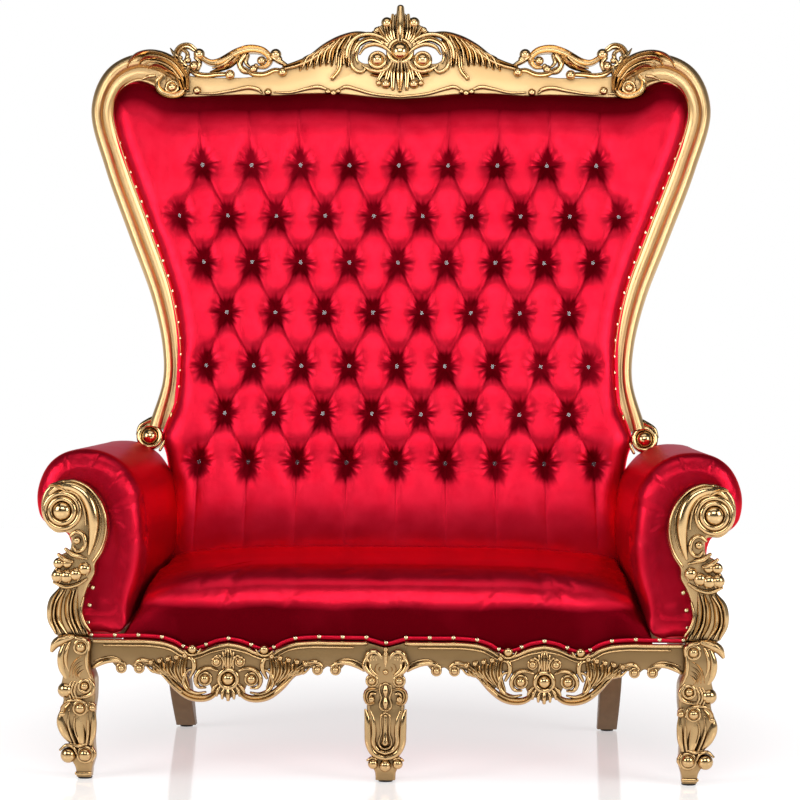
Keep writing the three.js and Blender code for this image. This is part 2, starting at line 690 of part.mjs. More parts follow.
const rightArm = arm();
const rightPost = post();
const rightLeg = cornerLeg();
const rightRear = rearLeg();
const run = apronRun();
const sideRail = box(664, 700, LEG_BACK + GAP, REAR_RAIL_FRONT - GAP, RAIL_BOTTOM, SIDE_TOP);
const rearRail = box(-700, 700, REAR_RAIL_FRONT, REAR_RAIL_BACK, RAIL_BOTTOM, SIDE_TOP);
const pieces = [
  piece("back_frame", leaned(backFrame()), gold),
  piece("back_panel", leaned(backPanel()), satin),
  piece("back_cover", leaned(backCover()), satin),
  piece("seat_cushion", seat(rightArm), satin),
  piece("arm_right", rightArm, satin),
  piece("arm_left", mirrored(rightArm), satin),
  piece("arm_post_right", rightPost, gold),
  piece("arm_post_left", mirrored(rightPost), gold),
  piece("leg_front_right", rightLeg, gold),
  piece("leg_front_left", mirrored(rightLeg), gold),
  piece("leg_front_centre", centreLeg(), gold),
  piece("leg_rear_right", rightRear.translate([0, 0, -GAP]), gold),
  piece("leg_rear_left", mirrored(rightRear).translate([0, 0, -GAP]), gold),
  piece("front_rail_right", run.translate([RUN_MIDDLE, 0, 0]), gold),
  piece("front_rail_left", run.translate([-RUN_MIDDLE, 0, 0]), gold),
  piece("side_rail_right", sideRail, gold),
  piece("side_rail_left", mirrored(sideRail), gold),
  piece("rear_rail", rearRail, gold),
  piece("glide_front_right", glide(672, -394), pad),
  piece("glide_front_left", glide(-672, -394), pad),
  piece("glide_front_centre", glide(0, -394), pad),
  piece("glide_rear_right", glide(536, 338), pad),
  piece("glide_rear_left", glide(-536, 338), pad),
];

const throne = new THREE.Group();
throne.name = "throne";
throne.add(...pieces);
const extent = new THREE.Box3().setFromObject(throne);
throne.position.y = -(extent.min.y + extent.max.y) / 2;
export default throne;
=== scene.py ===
import math

import bpy
import numpy as np
from mathutils import Matrix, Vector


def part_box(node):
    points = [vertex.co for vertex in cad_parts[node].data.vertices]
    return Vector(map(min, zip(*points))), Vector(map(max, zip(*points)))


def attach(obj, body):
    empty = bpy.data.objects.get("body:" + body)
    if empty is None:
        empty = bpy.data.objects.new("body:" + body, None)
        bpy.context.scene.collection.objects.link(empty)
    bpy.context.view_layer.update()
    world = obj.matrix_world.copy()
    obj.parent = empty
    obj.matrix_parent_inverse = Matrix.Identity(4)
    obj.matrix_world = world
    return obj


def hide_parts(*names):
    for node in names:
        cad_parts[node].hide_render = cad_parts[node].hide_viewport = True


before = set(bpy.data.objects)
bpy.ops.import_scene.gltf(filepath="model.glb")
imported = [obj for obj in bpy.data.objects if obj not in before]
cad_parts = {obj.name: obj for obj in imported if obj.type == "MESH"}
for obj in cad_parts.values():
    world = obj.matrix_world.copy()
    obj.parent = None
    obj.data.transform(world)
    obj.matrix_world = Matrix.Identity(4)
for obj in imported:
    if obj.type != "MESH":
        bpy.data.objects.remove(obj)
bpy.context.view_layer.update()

# ---- Viewpoint ----
# A long lens at chest height, a little to the throne's left of centre, looking level.

VIEW_AZIMUTH = math.radians(1.9)
VIEW_DISTANCE = 5.425
VIEW_PIVOT = 0.004  # the view turns about a line this far behind the origin
VIEW_HEIGHT = 0.930
VIEW_ROLL = math.radians(0.3)

lens = bpy.data.cameras.new("viewpoint")
lens.sensor_width = 36
lens.lens = 101.7
lens.shift_x = 0.008
lens.shift_y = -0.046
viewpoint = bpy.data.objects.new("viewpoint", lens)
viewpoint.matrix_world = (
    Matrix.Translation(
        (
            VIEW_DISTANCE * math.sin(VIEW_AZIMUTH),
            VIEW_PIVOT - VIEW_DISTANCE * math.cos(VIEW_AZIMUTH),
            VIEW_HEIGHT,
        )
    )
    @ Matrix.Rotation(VIEW_AZIMUTH, 4, "Z")
    @ Matrix.Rotation(math.radians(90), 4, "X")
    @ Matrix.Rotation(VIEW_ROLL, 4, "Z")
)
bpy.context.collection.objects.link(viewpoint)
bpy.context.scene.camera = viewpoint
bpy.context.scene.view_settings.view_transform = "Standard"


# ---- Studio floor and lights ----
# A pale, glossy floor under four soft boxes: one to each side, a wide one high in front and a
# weaker one overhead. The walls are white and the ceiling is dark, which the gilding mirrors.

FLOOR_HALF = 7.0


class Shade:
    """A node socket as a value in an expression: + - * and ** on it add Math nodes."""

    def __init__(self, tree, socket=None):
        self.tree = tree
        self.socket = socket

    def node(self, kind, settings=None, stops=(), out=0, **inputs):
        """Adds a node, sets it up, then fills or links its sockets; gives back one output."""
        made = self.tree.nodes.new(kind)
        for name, value in (settings or {}).items():
            setattr(made, name, value)
        if stops:
            ramp = made.color_ramp.elements
            while len(ramp) < len(stops):
                ramp.new(0.5)
            for element, (place, colour) in zip(ramp, stops):
                element.position = place
                element.color = colour
        for name, value in inputs.items():
            numbered = name[0] == "_" and name[1:].isdigit()
            key = int(name[1:]) if numbered else name.replace("_", " ")
            self.feed(made.inputs[key], value)
        return Shade(self.tree, made.outputs[out])

    def feed(self, socket, value):
        """Links a Shade to a socket, or sets the socket's own value."""
        if isinstance(value, Shade):
            self.tree.links.new(value.socket, socket)
        else:
            socket.default_value = value

    def maths(self, operation, *values):
        slots = {f"_{i}": value for i, value in enumerate(values)}
        return self.node("ShaderNodeMath", {"operation": operation}, **slots)

    def __add__(self, other):
        return self.maths("ADD", self, other)

    def __sub__(self, other):
        return self.maths("SUBTRACT", self, other)

    def __mul__(self, other):
        return self.maths("MULTIPLY", self, other)

    def __pow__(self, other):
        return self.maths("POWER", self, other)

    def __rsub__(self, other):
        return self.maths("SUBTRACT", other, self)

    __radd__ = __add__
    __rmul__ = __mul__

    def held(self):
        """The value kept between 0 and 1."""
        return self.node("ShaderNodeClamp", Value=self)

    def blend(self, low, high):
        """The colour that runs from low to high as this value runs from 0 to 1."""
        settings = {"data_type": "RGBA"}
        return self.node("ShaderNodeMix", settings, out=2, Factor=self, _6=low, _7=high)

    def rough(self, height, strength, distance, **inputs):
        """A normal that is tilted by the slope of height."""
        settings = {"Height": height, "Strength": strength, "Distance": distance}
        return self.node("ShaderNodeBump", **settings, **inputs)


def finish(name, **inputs):
    """A material with one Principled shader, its tree, and a function that sets its sockets."""
    material = bpy.data.materials.new(name)
    material.use_nodes = True
    tree = material.node_tree
    shader = tree.nodes["Principled BSDF"]
    shade = Shade(tree)

    def put(**values):
        for key, value in values.items():
            shade.feed(shader.inputs[key.replace("_", " ")], value)

    put(**inputs)
    return material, shade, put


def mesh_piece(name, points, faces, material, smooth_angle=35, **values):
    """A mesh object from points in metres and a list of faces, shaded smooth below an angle."""
    mesh = bpy.data.meshes.new(name)
    mesh.from_pydata(points.tolist(), [], faces)
    for key, value in values.items():
        mesh.attributes.new(key, "FLOAT", "POINT").data.foreach_set("value", value)
    mesh.materials.append(material)
    mesh.polygons.foreach_set("use_smooth", np.ones(len(mesh.polygons), bool))
    mesh.set_sharp_from_angle(angle=math.radians(smooth_angle))
    made = bpy.data.objects.new(name, mesh)
    bpy.context.collection.objects.link(made)
    return made


def pale_floor():
    """Glossy near-white paint that glows a little, less near the throne as a painted shadow round
    it.
    """
    material, shade, put = finish("pale_floor", Roughness=0.1, Specular_IOR_Level=0.8)
    spot = shade.node("ShaderNodeTexCoord", out="Object")
    grain = shade.node("ShaderNodeTexNoise", Vector=spot, Scale=1.5)
    put(Base_Color=grain.blend((0.92, 0.92, 0.93, 1), (0.95, 0.95, 0.95, 1)))
    from_middle = shade.node("ShaderNodeVectorMath", {"operation": "LENGTH"}, out=1, _0=spot)
    # painted shadow: the glow fades within about three metres of the throne's middle
    clear_of_painted_shadow = (from_middle * 0.4 - 0.25).held()
    put(Emission_Color=clear_of_painted_shadow.blend((0.44, 0.44, 0.44, 1), (1, 1, 1, 1)), Emission_Strength=0.9)
    return material


corners = np.array([[-1, -1, 0], [1, -1, 0], [1, 1, 0], [-1, 1, 0]]) * FLOOR_HALF
studio_floor = mesh_piece("studio_floor", corners, [[0, 1, 2, 3]], pale_floor())


def soft_box(name, place, aim, width, height, power):
    """A rectangular lamp at a place, turned to face the aim."""
    lamp = bpy.data.lights.new(name, "AREA")
    lamp.shape = "RECTANGLE"
    lamp.size = width
    lamp.size_y = height
    lamp.energy = power
    holder = bpy.data.objects.new(name, lamp)
    away = np.array(place) - np.array(aim)
    back = away / np.linalg.norm(away)
    side = np.cross([0, 0, 1], back)
    side /= np.linalg.norm(side)
    up = np.cross(back, side)
    turn = Matrix(np.column_stack([side, up, back]).tolist())
    holder.matrix_world = Matrix.Translation(place) @ turn.to_4x4()
    bpy.context.collection.objects.link(holder)


for side, name in ((-1, "box_left"), (1, "box_right")):
    soft_box(name, (side * 2.9, -2.3, 1.75), (0, 0, 1.1), 1.6, 1.7, 50)
soft_box("front_box", (0, -5.2, 3.15), (0, 0, 1.0), 3.0, 1.8, 92)
soft_box("top_box", (0, -1.2, 3.5), (0, -0.35, 0.5), 3.2, 1.4, 20)

world = bpy.data.worlds.new("studio")
world.use_nodes = True
bpy.context.scene.world = world
shade = Shade(world.node_tree)
towards = shade.node("ShaderNodeTexCoord", out="Generated")
along, up = [shade.node("ShaderNodeSeparateXYZ", out=out, Vector=towards) for out in (1, 2)]
walls = (1 - up * 1.45).held()
behind_viewer = (along * -1.6 - 0.35).held()
backdrop = (along * 2.0 - 0.8).held() * walls
level = (walls * 0.36 + 0.04) * (1 - behind_viewer * 0.85) + backdrop * 0.5
seen = shade.node("ShaderNodeLightPath", out="Is Camera Ray")
sky = world.node_tree.nodes["Background"]
shade.feed(sky.inputs["Strength"], seen + (1 - seen) * level)
shade.feed(sky.inputs["Color"], (1, 1, 1, 1))


# ---- Back frame: stiles ----
# Two tall stiles lean back with the crest between them. Each is one length of carved wood,
# gessoed and gilded: a bold outer roll, a shallow cove and a fine bead at the inner edge.

MM = 0.001  # shapes are worked out in millimetres, and their meshes are in metres
LEAN = math.radians(9)
BACK_PLANE = 110  # front of the back frame at the floor, before the throne is centred
GLIDE_LINE = 338  # the rear glides' distance behind the origin, before the throne is centred

rear_low, rear_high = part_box("glide_rear_right")
CENTRING = (rear_low.y + rear_high.y) / 2 / MM - GLIDE_LINE

STILE = [  # the middle line of a stile, from its foot to the crest
    (592, 773), (566, 892), (569, 985), (596, 1110), (656, 1272), (725, 1454),
    (763, 1600), (731, 1680), (678, 1709), (622, 1700), (576, 1668),
]
STILE_WIDTH = [64, 50, 50, 56, 60, 60, 62, 72, 76, 84, 84]
STILE_SCROLL = (619, 753)
FRAME_BACK = 44


def leaned(flat):
    """Turns flat (across, back, up) back by the lean about the foot of the frame, in metres."""
    x, y, s = flat.T
    depth = BACK_PLANE + y * math.cos(LEAN) + s * math.sin(LEAN)
    height = s * math.cos(LEAN) - y * math.sin(LEAN)
    return np.column_stack([x, depth + CENTRING, height]) * MM


def upright(flat):
    """Flat (across, back, up) without a lean, in metres."""
    return (flat + [0, CENTRING, 0]) * MM


def through(points, count):
    """A smooth curve through points, whose first two columns are its place in the plane.

    The knots are spaced by the square root of the distance between points. Each slope is
    the weighted mean of the two beside it, and each span is the cubic with those slopes.
    """
    p = np.asarray(points, float)
    knots = np.append(0, np.cumsum(np.hypot(*np.diff(p[:, :2], axis=0).T) ** 0.5))
    slopes = np.gradient(p, knots, axis=0)
    t = np.linspace(0, knots[-1], count)
    i = np.clip(np.searchsorted(knots, t, "right") - 1, 0, len(p) - 2)
    span = (knots[i + 1] - knots[i])[:, None]
    f = (t - knots[i])[:, None] / span
    start = p[i] * (1 + 2 * f) * (1 - f) ** 2 + slopes[i] * span * f * (1 - f) ** 2
    end = p[i + 1] * (3 - 2 * f) * f**2 + slopes[i + 1] * span * f**2 * (f - 1)
    return start + end


def length_of(points):
    """The length of the straight lines that join the points."""
    return np.hypot(*np.diff(np.asarray(points, float)[:, :2], axis=0).T).sum()


def directions(x, z):
    """The unit direction of a curve at each of its points."""
    tangent = np.column_stack([np.gradient(x), np.gradient(z)])
    return tangent / np.hypot(*tangent.T)[:, None]


def stood_across(x, z, tangent, side, depth):
    """Sections that stand across a curve, each point side to its right and depth behind it."""
    return np.stack(
        [x[:, None] + side * tangent[:, 1:], depth + 0 * side, z[:, None] - side * tangent[:, :1]],
        axis=-1,
    )


def grid_faces(rows, columns, around=False):
    """Four-sided faces of a grid of points, row after row; around joins the last column."""
    index = np.arange(rows * columns).reshape(rows, columns)
    right = np.roll(index, -1, axis=1)
    cut = columns if around else columns - 1
    quads = np.stack([index[:-1], right[:-1], right[1:], index[1:]], axis=-1)[:, :cut]
    return quads.reshape(-1, 4)


# Sections across a carved member: u from -1 to 1, and the height v over it.
ACROSS = -np.cos(np.linspace(0, math.pi, 11))
SECTIONS = {
    "round": np.sqrt(1 - ACROSS**2),
    "veined": np.sqrt(1 - ACROSS**2) * (1 - 0.5 * np.exp(-((ACROSS / 0.28) ** 2))),
    "hollow": np.minimum(0.42 + 0.62 * ACROSS**2, 4 * np.sqrt(1 - ACROSS**2 + 1e-9)),
    "keeled": (1 - np.abs(ACROSS)) ** 0.7,
}


class Carving:
    """The closed shells of one carved piece, worked out flat in millimetres."""

    def __init__(self, place):
        self.place = place
        self.points = []
        self.faces = []
        self.recess = []
        self.plain = []
        self.count = 0

    def shell(self, rings, recess=0.0, plain=0.0):
        """Closes a stack of rings, shaped (stack, around, 3), with a face at each end.

        Its volume is the sum over its triangles of corner . (corner x corner) / 6; where that
        comes out negative the faces are turned round.
        """
        stack, around, _ = rings.shape
        flat = rings.reshape(-1, 3)
        quads = grid_faces(stack, around, around=True)
        loop = np.arange(around)
        caps = [loop[::-1], loop + (stack - 1) * around]
        fans = [
            np.column_stack([np.full(around - 2, cap[0]), cap[1:-1], cap[2:]]) for cap in caps
        ]
        corners = flat[np.concatenate([quads[:, :3], quads[:, [0, 2, 3]], *fans])]
        volume = (corners[:, 0] * np.cross(corners[:, 1], corners[:, 2])).sum()
        if volume < 0:
            quads = quads[:, ::-1]
            caps = [cap[::-1] for cap in caps]
        self.points.append(flat)
        self.faces += [(face + self.count).tolist() for face in quads]
        self.faces += [(cap + self.count).tolist() for cap in caps]
        self.recess.append(np.broadcast_to(recess, (stack, around)).ravel())
        self.plain.append(np.full(len(flat), plain))
        self.count += len(flat)

    def band(self, points, widths, y=0.0, rise=0.62, kind="round", step=5.0):
        """A carved member that follows a curve.

        At each place along the curve the section stands across it: u half-widths to the
        side and v * rise widths in front of y. Each end closes as a quarter of a circle.
        """
        count = max(6, int(length_of(points) / step))
        x, z, width = through(np.column_stack([points, widths]), count).T
        width = np.maximum(width, 2.0)
        tangent = directions(x, z)
        end = np.array([0.98, 0.75, 0.45])
        shrink = np.sqrt(1 - np.concatenate([end, np.zeros(count), end[::-1]]) ** 2)
        reach = np.concatenate([-end, np.zeros(count), end[::-1]]) * 0.4
        pick = np.concatenate([[0] * 3, np.arange(count), [count - 1] * 3])
        x, z, width, tangent = x[pick], z[pick], width[pick], tangent[pick]
        x = x + reach * width * tangent[:, 0]
        z = z + reach * width * tangent[:, 1]
        u = np.concatenate([ACROSS, [0.7, -0.7]])
        v = np.concatenate([SECTIONS[kind], [-0.35, -0.35]])
        side = (width * shrink / 2)[:, None] * u
        height = (width * shrink * rise)[:, None] * v
        rings = stood_across(x, z, tangent, side, y - height)
        self.shell(rings, recess=np.clip(1 - v * 1.6, 0, 1))

    def ball(self, x, z, radius, y=0.0, squash=1.0):
        """A bead: a sphere, flattened along y by squash."""
        tilt = np.linspace(0, math.pi, 13)[1:-1, None]
        turn = np.linspace(0, 2 * math.pi, 18, endpoint=False)
        out = radius * np.sin(tilt)
        deep = -np.cos(tilt) * squash + 0 * turn
        rings = [x + out * np.cos(turn), y + radius * deep, z + out * np.sin(turn)]
        self.shell(np.stack(rings, axis=-1), recess=np.clip(deep + 0.6, 0, 1))

    def ring(self, x, z, radius, tube, y=0.0):
        """A raised ring round a boss: a circle of the tube's radius carried round."""
        steps, sides = 36, 12
        turn = np.linspace(0, 2 * math.pi, steps, endpoint=False)[:, None]
        round_tube = np.linspace(0, 2 * math.pi, sides, endpoint=False)
        out = radius + tube * np.cos(round_tube)
        deep = y - tube * np.sin(round_tube) + 0 * turn
        rings = np.stack([x + out * np.cos(turn), deep, z + out * np.sin(turn)], axis=-1)
        flat = rings.reshape(-1, 3)
        quads = grid_faces(steps + 1, sides, around=True) % len(flat)
        self.points.append(flat)
        self.faces += (quads[:, ::-1] + self.count).tolist()
        self.recess.append(np.clip((deep - y) / tube + 0.4, 0, 1).ravel())
        self.plain.append(np.zeros(len(flat)))
        self.count += len(flat)

    def board(self, outline, front, back, edge=3.0, plain=1.0, dense=4.0):
        """A flat board with a rounded front edge: the outline moves in as a quarter circle."""
        closed = np.array([*outline, outline[0]], float)
        rim = through(closed, int(length_of(closed) / dense))[:-1]
        along = np.roll(rim, -1, axis=0) - np.roll(rim, 1, axis=0)
        along /= np.hypot(*along.T)[:, None]
        inward = np.column_stack([-along[:, 1], along[:, 0]])
        x, z = rim.T
        if (x * np.roll(z, -1) - np.roll(x, -1) * z).sum() < 0:
            inward = -inward
        turn = np.linspace(0, math.pi / 2, 5)
        inset = np.append(0, edge * (1 - np.cos(turn)))[:, None]
        depth = np.append(back, front + edge * (1 - np.sin(turn)))[:, None]
        rings = np.stack(
            [x + inset * inward[:, 0], depth + 0 * x, z + inset * inward[:, 1]], axis=-1
        )
        self.shell(rings, plain=plain)

    def moulding(self, path, widths, section, step=8.0):
        """A run of moulding: section is (share of the width from the outer edge, depth)."""
        count = int(length_of(path) / step)
        x, z, width = through(np.column_stack([path, widths]), count).T
        share, depth = section
        side = width[:, None] * (0.5 - share)
        self.shell(stood_across(x, z, directions(x, z), side, depth), plain=0.8)

    def mirrored(self):
        """Adds the other half, turned over about the middle, with its faces turned as well."""
        whole = np.concatenate(self.points)
        self.points = [whole, whole * [-1, 1, 1]]
        self.faces += [[i + self.count for i in face[::-1]] for face in self.faces]
        self.recess = self.recess * 2
        self.plain = self.plain * 2
        self.count *= 2

    def piece(self, name, material, side=1, smooth_angle=35):
        """The finished object; side -1 makes the left-hand copy of a right-hand piece."""
        flat = np.concatenate(self.points) * [side, 1, 1]
        faces = self.faces if side > 0 else [face[::-1] for face in self.faces]
        values = {"recess": np.concatenate(self.recess), "plain": np.concatenate(self.plain)}
        return mesh_piece(name, self.place(flat), faces, material, smooth_angle, **values)


LOW_SHADE_TOP = 0.82  # metres up, above which no painted shade darkens the gilding


def gilding():
    """Burnished gilding: bright where it stands proud, brown in hollows, satin on plain wood.

    Its brown in the hollows is partly a wash in the gilding and partly painted shade, from the
    recess marks and an occlusion term. Below the seat it is darker still with painted shade,
    more so the lower it is and on plain wood most.
    """
    material, shade, put = finish("gilding", Metallic=1.0, Coat_Weight=0.15, Coat_Roughness=0.12)
    spot = shade.node("ShaderNodeTexCoord", out="Object")
    recess = shade.node("ShaderNodeAttribute", {"attribute_name": "recess"}, out="Fac")
    plain = shade.node("ShaderNodeAttribute", {"attribute_name": "plain"}, out="Fac")
    open_air = shade.node("ShaderNodeAmbientOcclusion", {"samples": 4}, out="AO", Distance=0.014)
    cloud = shade.node("ShaderNodeTexNoise", Vector=spot, Scale=14.0, Detail=3.0)
    grit = shade.node("ShaderNodeTexNoise", Vector=spot, Scale=420.0, Detail=2.0)
    # wash and painted shade: darker in recesses and near close surfaces, with some random tone
    wash_and_painted_shade = (recess * recess * 0.8 + (1 - open_air) ** 1.3 + (cloud - 0.5) * 0.12).held()
    height = shade.node("ShaderNodeSeparateXYZ", out=2, Vector=spot)
    # painted shade: darker below the seat, the lower the darker, most on plain wood
    low_painted_shade = ((LOW_SHADE_TOP - height) * 2.4).held() * (0.22 + plain * 0.66)
    bright = cloud.blend((0.66, 0.42, 0.185, 1), (0.78, 0.53, 0.26, 1))
    leaf = low_painted_shade.blend(bright, (0.27, 0.165, 0.07, 1))
    put(
        Base_Color=wash_and_painted_shade.blend(leaf, (0.055, 0.026, 0.009, 1)),
        Roughness=0.13 + plain * 0.26 + cloud * 0.08,
        Normal=shade.rough(cloud * 0.7 + grit * 0.06, 0.35, 0.0012),
    )
    return material


gold = gilding()

ROLL_END = 0.5  # the outer roll ends and the inner bead starts at these shares of the width
BEAD_START = 0.86


def stile_section():
    """The stile's section: half an oval, a shallow hollow, then a small half-round bead.

    Each part's depth is its ground minus height times the root of one minus the square of
    the distance from its middle; the hollow adds a half sine wave to the ground.
    """
    bow = -np.cos(np.linspace(0, math.pi, 17))
    roll = ROLL_END / 2 * (1 + bow)
    cove = np.linspace(ROLL_END, BEAD_START, 7)[1:-1]
    bead = (BEAD_START + 1) / 2 + (1 - BEAD_START) / 2 * bow[::2]
    share = np.concatenate([roll, cove, bead, [1, 0]])
    dip = 4 + 3 * np.sin(math.pi * (cove - ROLL_END) / (BEAD_START - ROLL_END))
    depth = np.concatenate(
        [
            10 - 6 * roll / ROLL_END - 23 * np.sqrt(1 - bow**2),
            dip,
            4 - 8 * np.sqrt(1 - bow[::2] ** 2),
            [FRAME_BACK, FRAME_BACK],
        ]
    )
    return share, depth


def stile_carving():
    """One stile with the scroll at its foot that rests on the arm."""
    carving = Carving(leaned)
    carving.moulding(STILE, STILE_WIDTH, stile_section())
    x, z = STILE_SCROLL
    carving.ring(x, z, 27, 7, 2)
    carving.ball(x, z, 21, 4)
    block = [
        (x - 31, z), (x - 22, z - 22), (x, z - 31), (x + 22, z - 22),
        (x + 31, z), (x + 22, z + 22), (x, z + 31), (x - 22, z + 22),
    ]
    carving.board(block, 6, 36, 4)
    carving.band([(566, 812), (568, 780), (578, 748), (593, 718)], [8, 9, 10, 7], y=4)
    carving.band([(600, 800), (622, 792), (644, 778), (651, 758)], [20, 16, 12, 8], y=6)
    return carving


for side, name in ((1, "stile_right"), (-1, "stile_left")):
    stile = stile_carving().piece(name, gold, side)
    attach(stile, "root")
    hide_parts("back_frame")


# ---- Back frame: crest ----
# The crest rail joins the stiles. Its plain field is sawn from one board, and the scrolls,
# leaves, beads and central shell are carved on it and gilded with it.

OTHER_HALF = [-1, 1]  # a flat outline times this is turned over about the middle
CREST_LOW = [
    (600, 1636), (545, 1631), (460, 1635), (381, 1637), (314, 1635), (237, 1640), (150, 1639),
    (61, 1630), (0, 1626),
]
CREST_TOP = [  # dips between the shell and the wing, where the great scroll stands free
    (0, 1775), (24, 1766), (36, 1746), (58, 1728), (92, 1722), (110, 1734), (120, 1762),
    (132, 1786), (155, 1787), (194, 1767), (232, 1738), (268, 1724), (300, 1712), (385, 1686),
    (440, 1684), (520, 1686), (548, 1690), (600, 1690),
]
WING_RIDGE = [(224, 1745), (194, 1761), (168, 1777), (148, 1788), (124, 1795), (104, 1797)]
WING_TIPS = [
    (257, 1702), (240, 1705), (222, 1709), (206, 1714), (190, 1716), (176, 1714), (150, 1714),
    (137, 1712), (124, 1706),
]
CORNER_LEAVES = [
    [
        (545, 1649), (548, 1681), (573, 1718), (607, 1739), (646, 1746), (677, 1739), (694, 1723),
        (702, 1707),
    ],
    [(550, 1649), (564, 1686), (588, 1713), (619, 1729), (651, 1731), (666, 1723), (672, 1712)],
    [(558, 1649), (574, 1681), (598, 1699), (619, 1710), (637, 1710), (648, 1704)],
]


def leaf_between(root, tip, bow):
    """Three points from a leaf's root to its tip, the middle one moved sideways by bow."""
    root, tip = np.array(root, float), np.array(tip, float)
    run = tip - root
    across = np.array([-run[1], run[0]]) / np.hypot(*run)
    return [root, (root + tip) / 2 + across * bow, tip]


def crest_corner(carving):
    """Acanthus that sweeps over the corner from a volute, and the volute itself."""
    outer, middle, inner = CORNER_LEAVES
    carving.band(outer, [9, 13, 16, 17, 17, 14, 10, 3], y=-13, kind="keeled", rise=0.85)
    carving.band(middle, [8, 12, 15, 16, 15, 10, 3], y=-13, kind="keeled", rise=0.9)
    carving.band(inner, [7, 11, 14, 14, 11, 4], y=-12, kind="keeled", rise=0.9)
    for share in (0.5, 0.75):
        between = through(outer, 24) * (1 - share) + through(middle, 24) * share
        carving.band(between[4::4] - [2, 3], [4, 6, 7, 6, 2], y=-17, rise=0.9)
    between = (through(middle, 20) + through(inner, 20)) / 2
    carving.band(between[3::4], [4, 6, 6, 5, 2], y=-16, rise=0.9)
    volute = [
        (611, 1686), (623, 1670), (616, 1645), (586, 1632), (560, 1638), (549, 1660), (560, 1686),
        (586, 1697),
    ]
    carving.band(volute, [8, 12, 14, 15, 15, 14, 12, 6], y=-6, kind="hollow")
    carving.ring(585, 1655, 15, 5, -8)
    carving.ball(585, 1655, 13, -9)
    carving.band([(630, 1686), (648, 1684), (664, 1676)], [8, 10, 3], y=-6)


def crest_sprig(carving):
    """The open sprig over the corner: a stem, a curled leaf and four beads."""
    carving.band([(546, 1650), (552, 1680), (545, 1712)], [12, 19, 16], y=6, rise=0.8)
    curl = [(543, 1706), (566, 1722), (577, 1744), (567, 1764), (547, 1769), (528, 1757)]
    carving.band(curl, [15, 21, 21, 20, 18, 13], y=8, rise=0.75, kind="veined")
    inside = [(562, 1716), (549, 1736), (550, 1750), (562, 1757)]
    carving.band(inside, [10, 13, 12, 7], y=3, rise=0.8)
    carving.ball(519, 1747, 15, 6)
    carving.ball(531, 1714, 13, 0)
    carving.ball(547, 1729, 9, 0)
    carving.band([(566, 1736), (583, 1747), (594, 1763)], [13, 11, 3], y=6, rise=0.8)
    carving.band([(572, 1724), (590, 1729), (604, 1738)], [12, 10, 3], y=6, rise=0.8)
    carving.band([(528, 1738), (517, 1724), (522, 1706)], [12, 14, 12], y=6, rise=0.8)


def crest_chain(carving):
    """The run of S-scrolls between the corner and the wing, with holes between them."""
    low_stem = [(543, 1708), (525, 1694), (502, 1689), (472, 1692), (441, 1693)]
    carving.band(low_stem, [14, 16, 15, 14, 12], y=3, rise=0.8, kind="veined")
    carving.ball(437, 1690, 13, -3)
    wave = [
        (514, 1738), (489, 1723), (466, 1724), (418, 1749), (385, 1758), (350, 1751), (334, 1730),
        (346, 1713), (366, 1711),
    ]
    carving.band(wave, [14, 16, 19, 22, 22, 19, 15, 12, 9], y=7, rise=0.75, kind="hollow")
    carving.ball(357, 1728, 12, 0)
    carving.ball(371, 1714, 7, 0)
    carving.band([(336, 1728), (346, 1731), (357, 1728)], [9, 10, 9], y=7, rise=0.9)
    leaf = [(414, 1742), (440, 1718), (488, 1698)]
    carving.band(leaf, [17, 19, 7], y=4, rise=0.8, kind="keeled")
    carving.band([(430, 1738), (452, 1718), (482, 1708)], [8, 10, 5], y=-2, rise=0.9)
    hook = [(400, 1744), (413, 1722), (404, 1702), (384, 1697)]
    carving.band(hook, [17, 18, 15, 11], y=5, rise=0.8)
    carving.band([(392, 1742), (397, 1724), (388, 1712)], [11, 12, 8], y=2, rise=0.9)
    carving.ball(377, 1706, 11, 0)
    next_stem = [(402, 1708), (378, 1694), (350, 1692), (322, 1703), (304, 1702)]
    carving.band(next_stem, [12, 15, 15, 14, 12], y=3, rise=0.8, kind="veined")
    carving.ball(302, 1697, 12, -3)
    carving.ball(321, 1746, 15, 5)
    carving.ball(313, 1733, 10, 3)
    last = [(334, 1742), (322, 1734), (308, 1726), (290, 1716)]
    carving.band(last, [10, 15, 15, 9], y=6, rise=0.8)


def crest_wing(carving):
    """The long wing: a ridge, a row of slender leaves hanging from it and one curled leaf."""
    ridge = [
        (300, 1712), (263, 1724), (232, 1738), (194, 1767), (155, 1788), (112, 1799), (72, 1792),
        (30, 1762),
    ]
    carving.band(ridge, [9, 12, 14, 16, 17, 17, 16, 11], y=2, rise=0.8, kind="keeled")
    under = [(300, 1704), (262, 1714), (236, 1725), (206, 1744), (176, 1764), (150, 1777)]
    carving.band(under, [6, 8, 8, 8, 7, 4], y=-3, rise=0.9)
    roots = through(WING_RIDGE, len(WING_TIPS))
    for root, tip in zip(roots, WING_TIPS):
        carving.band(leaf_between(root, tip, 9), [8, 13, 6], y=-1, rise=0.72, kind="keeled")
    between = (roots[1:] + roots[:-1]) / 2
    tips = (np.array(WING_TIPS[1:]) + WING_TIPS[:-1]) / 2
    for root, tip in zip(between, tips):
        carving.band(leaf_between(root, tip + [1, 5], 8), [5, 7, 4], y=-5, rise=0.9)
    fall = [(129, 1780), (152, 1742), (157, 1704), (174, 1680)]
    carving.band(fall, [8, 13, 12, 11], y=-6, kind="veined")
    curled = [(112, 1772), (125, 1736), (119, 1708), (101, 1697), (90, 1706), (97, 1717)]
    carving.band(curled, [7, 11, 11, 10, 8, 5], y=-5)
    carving.band([(104, 1768), (112, 1738), (108, 1722)], [5, 8, 5], y=-5)


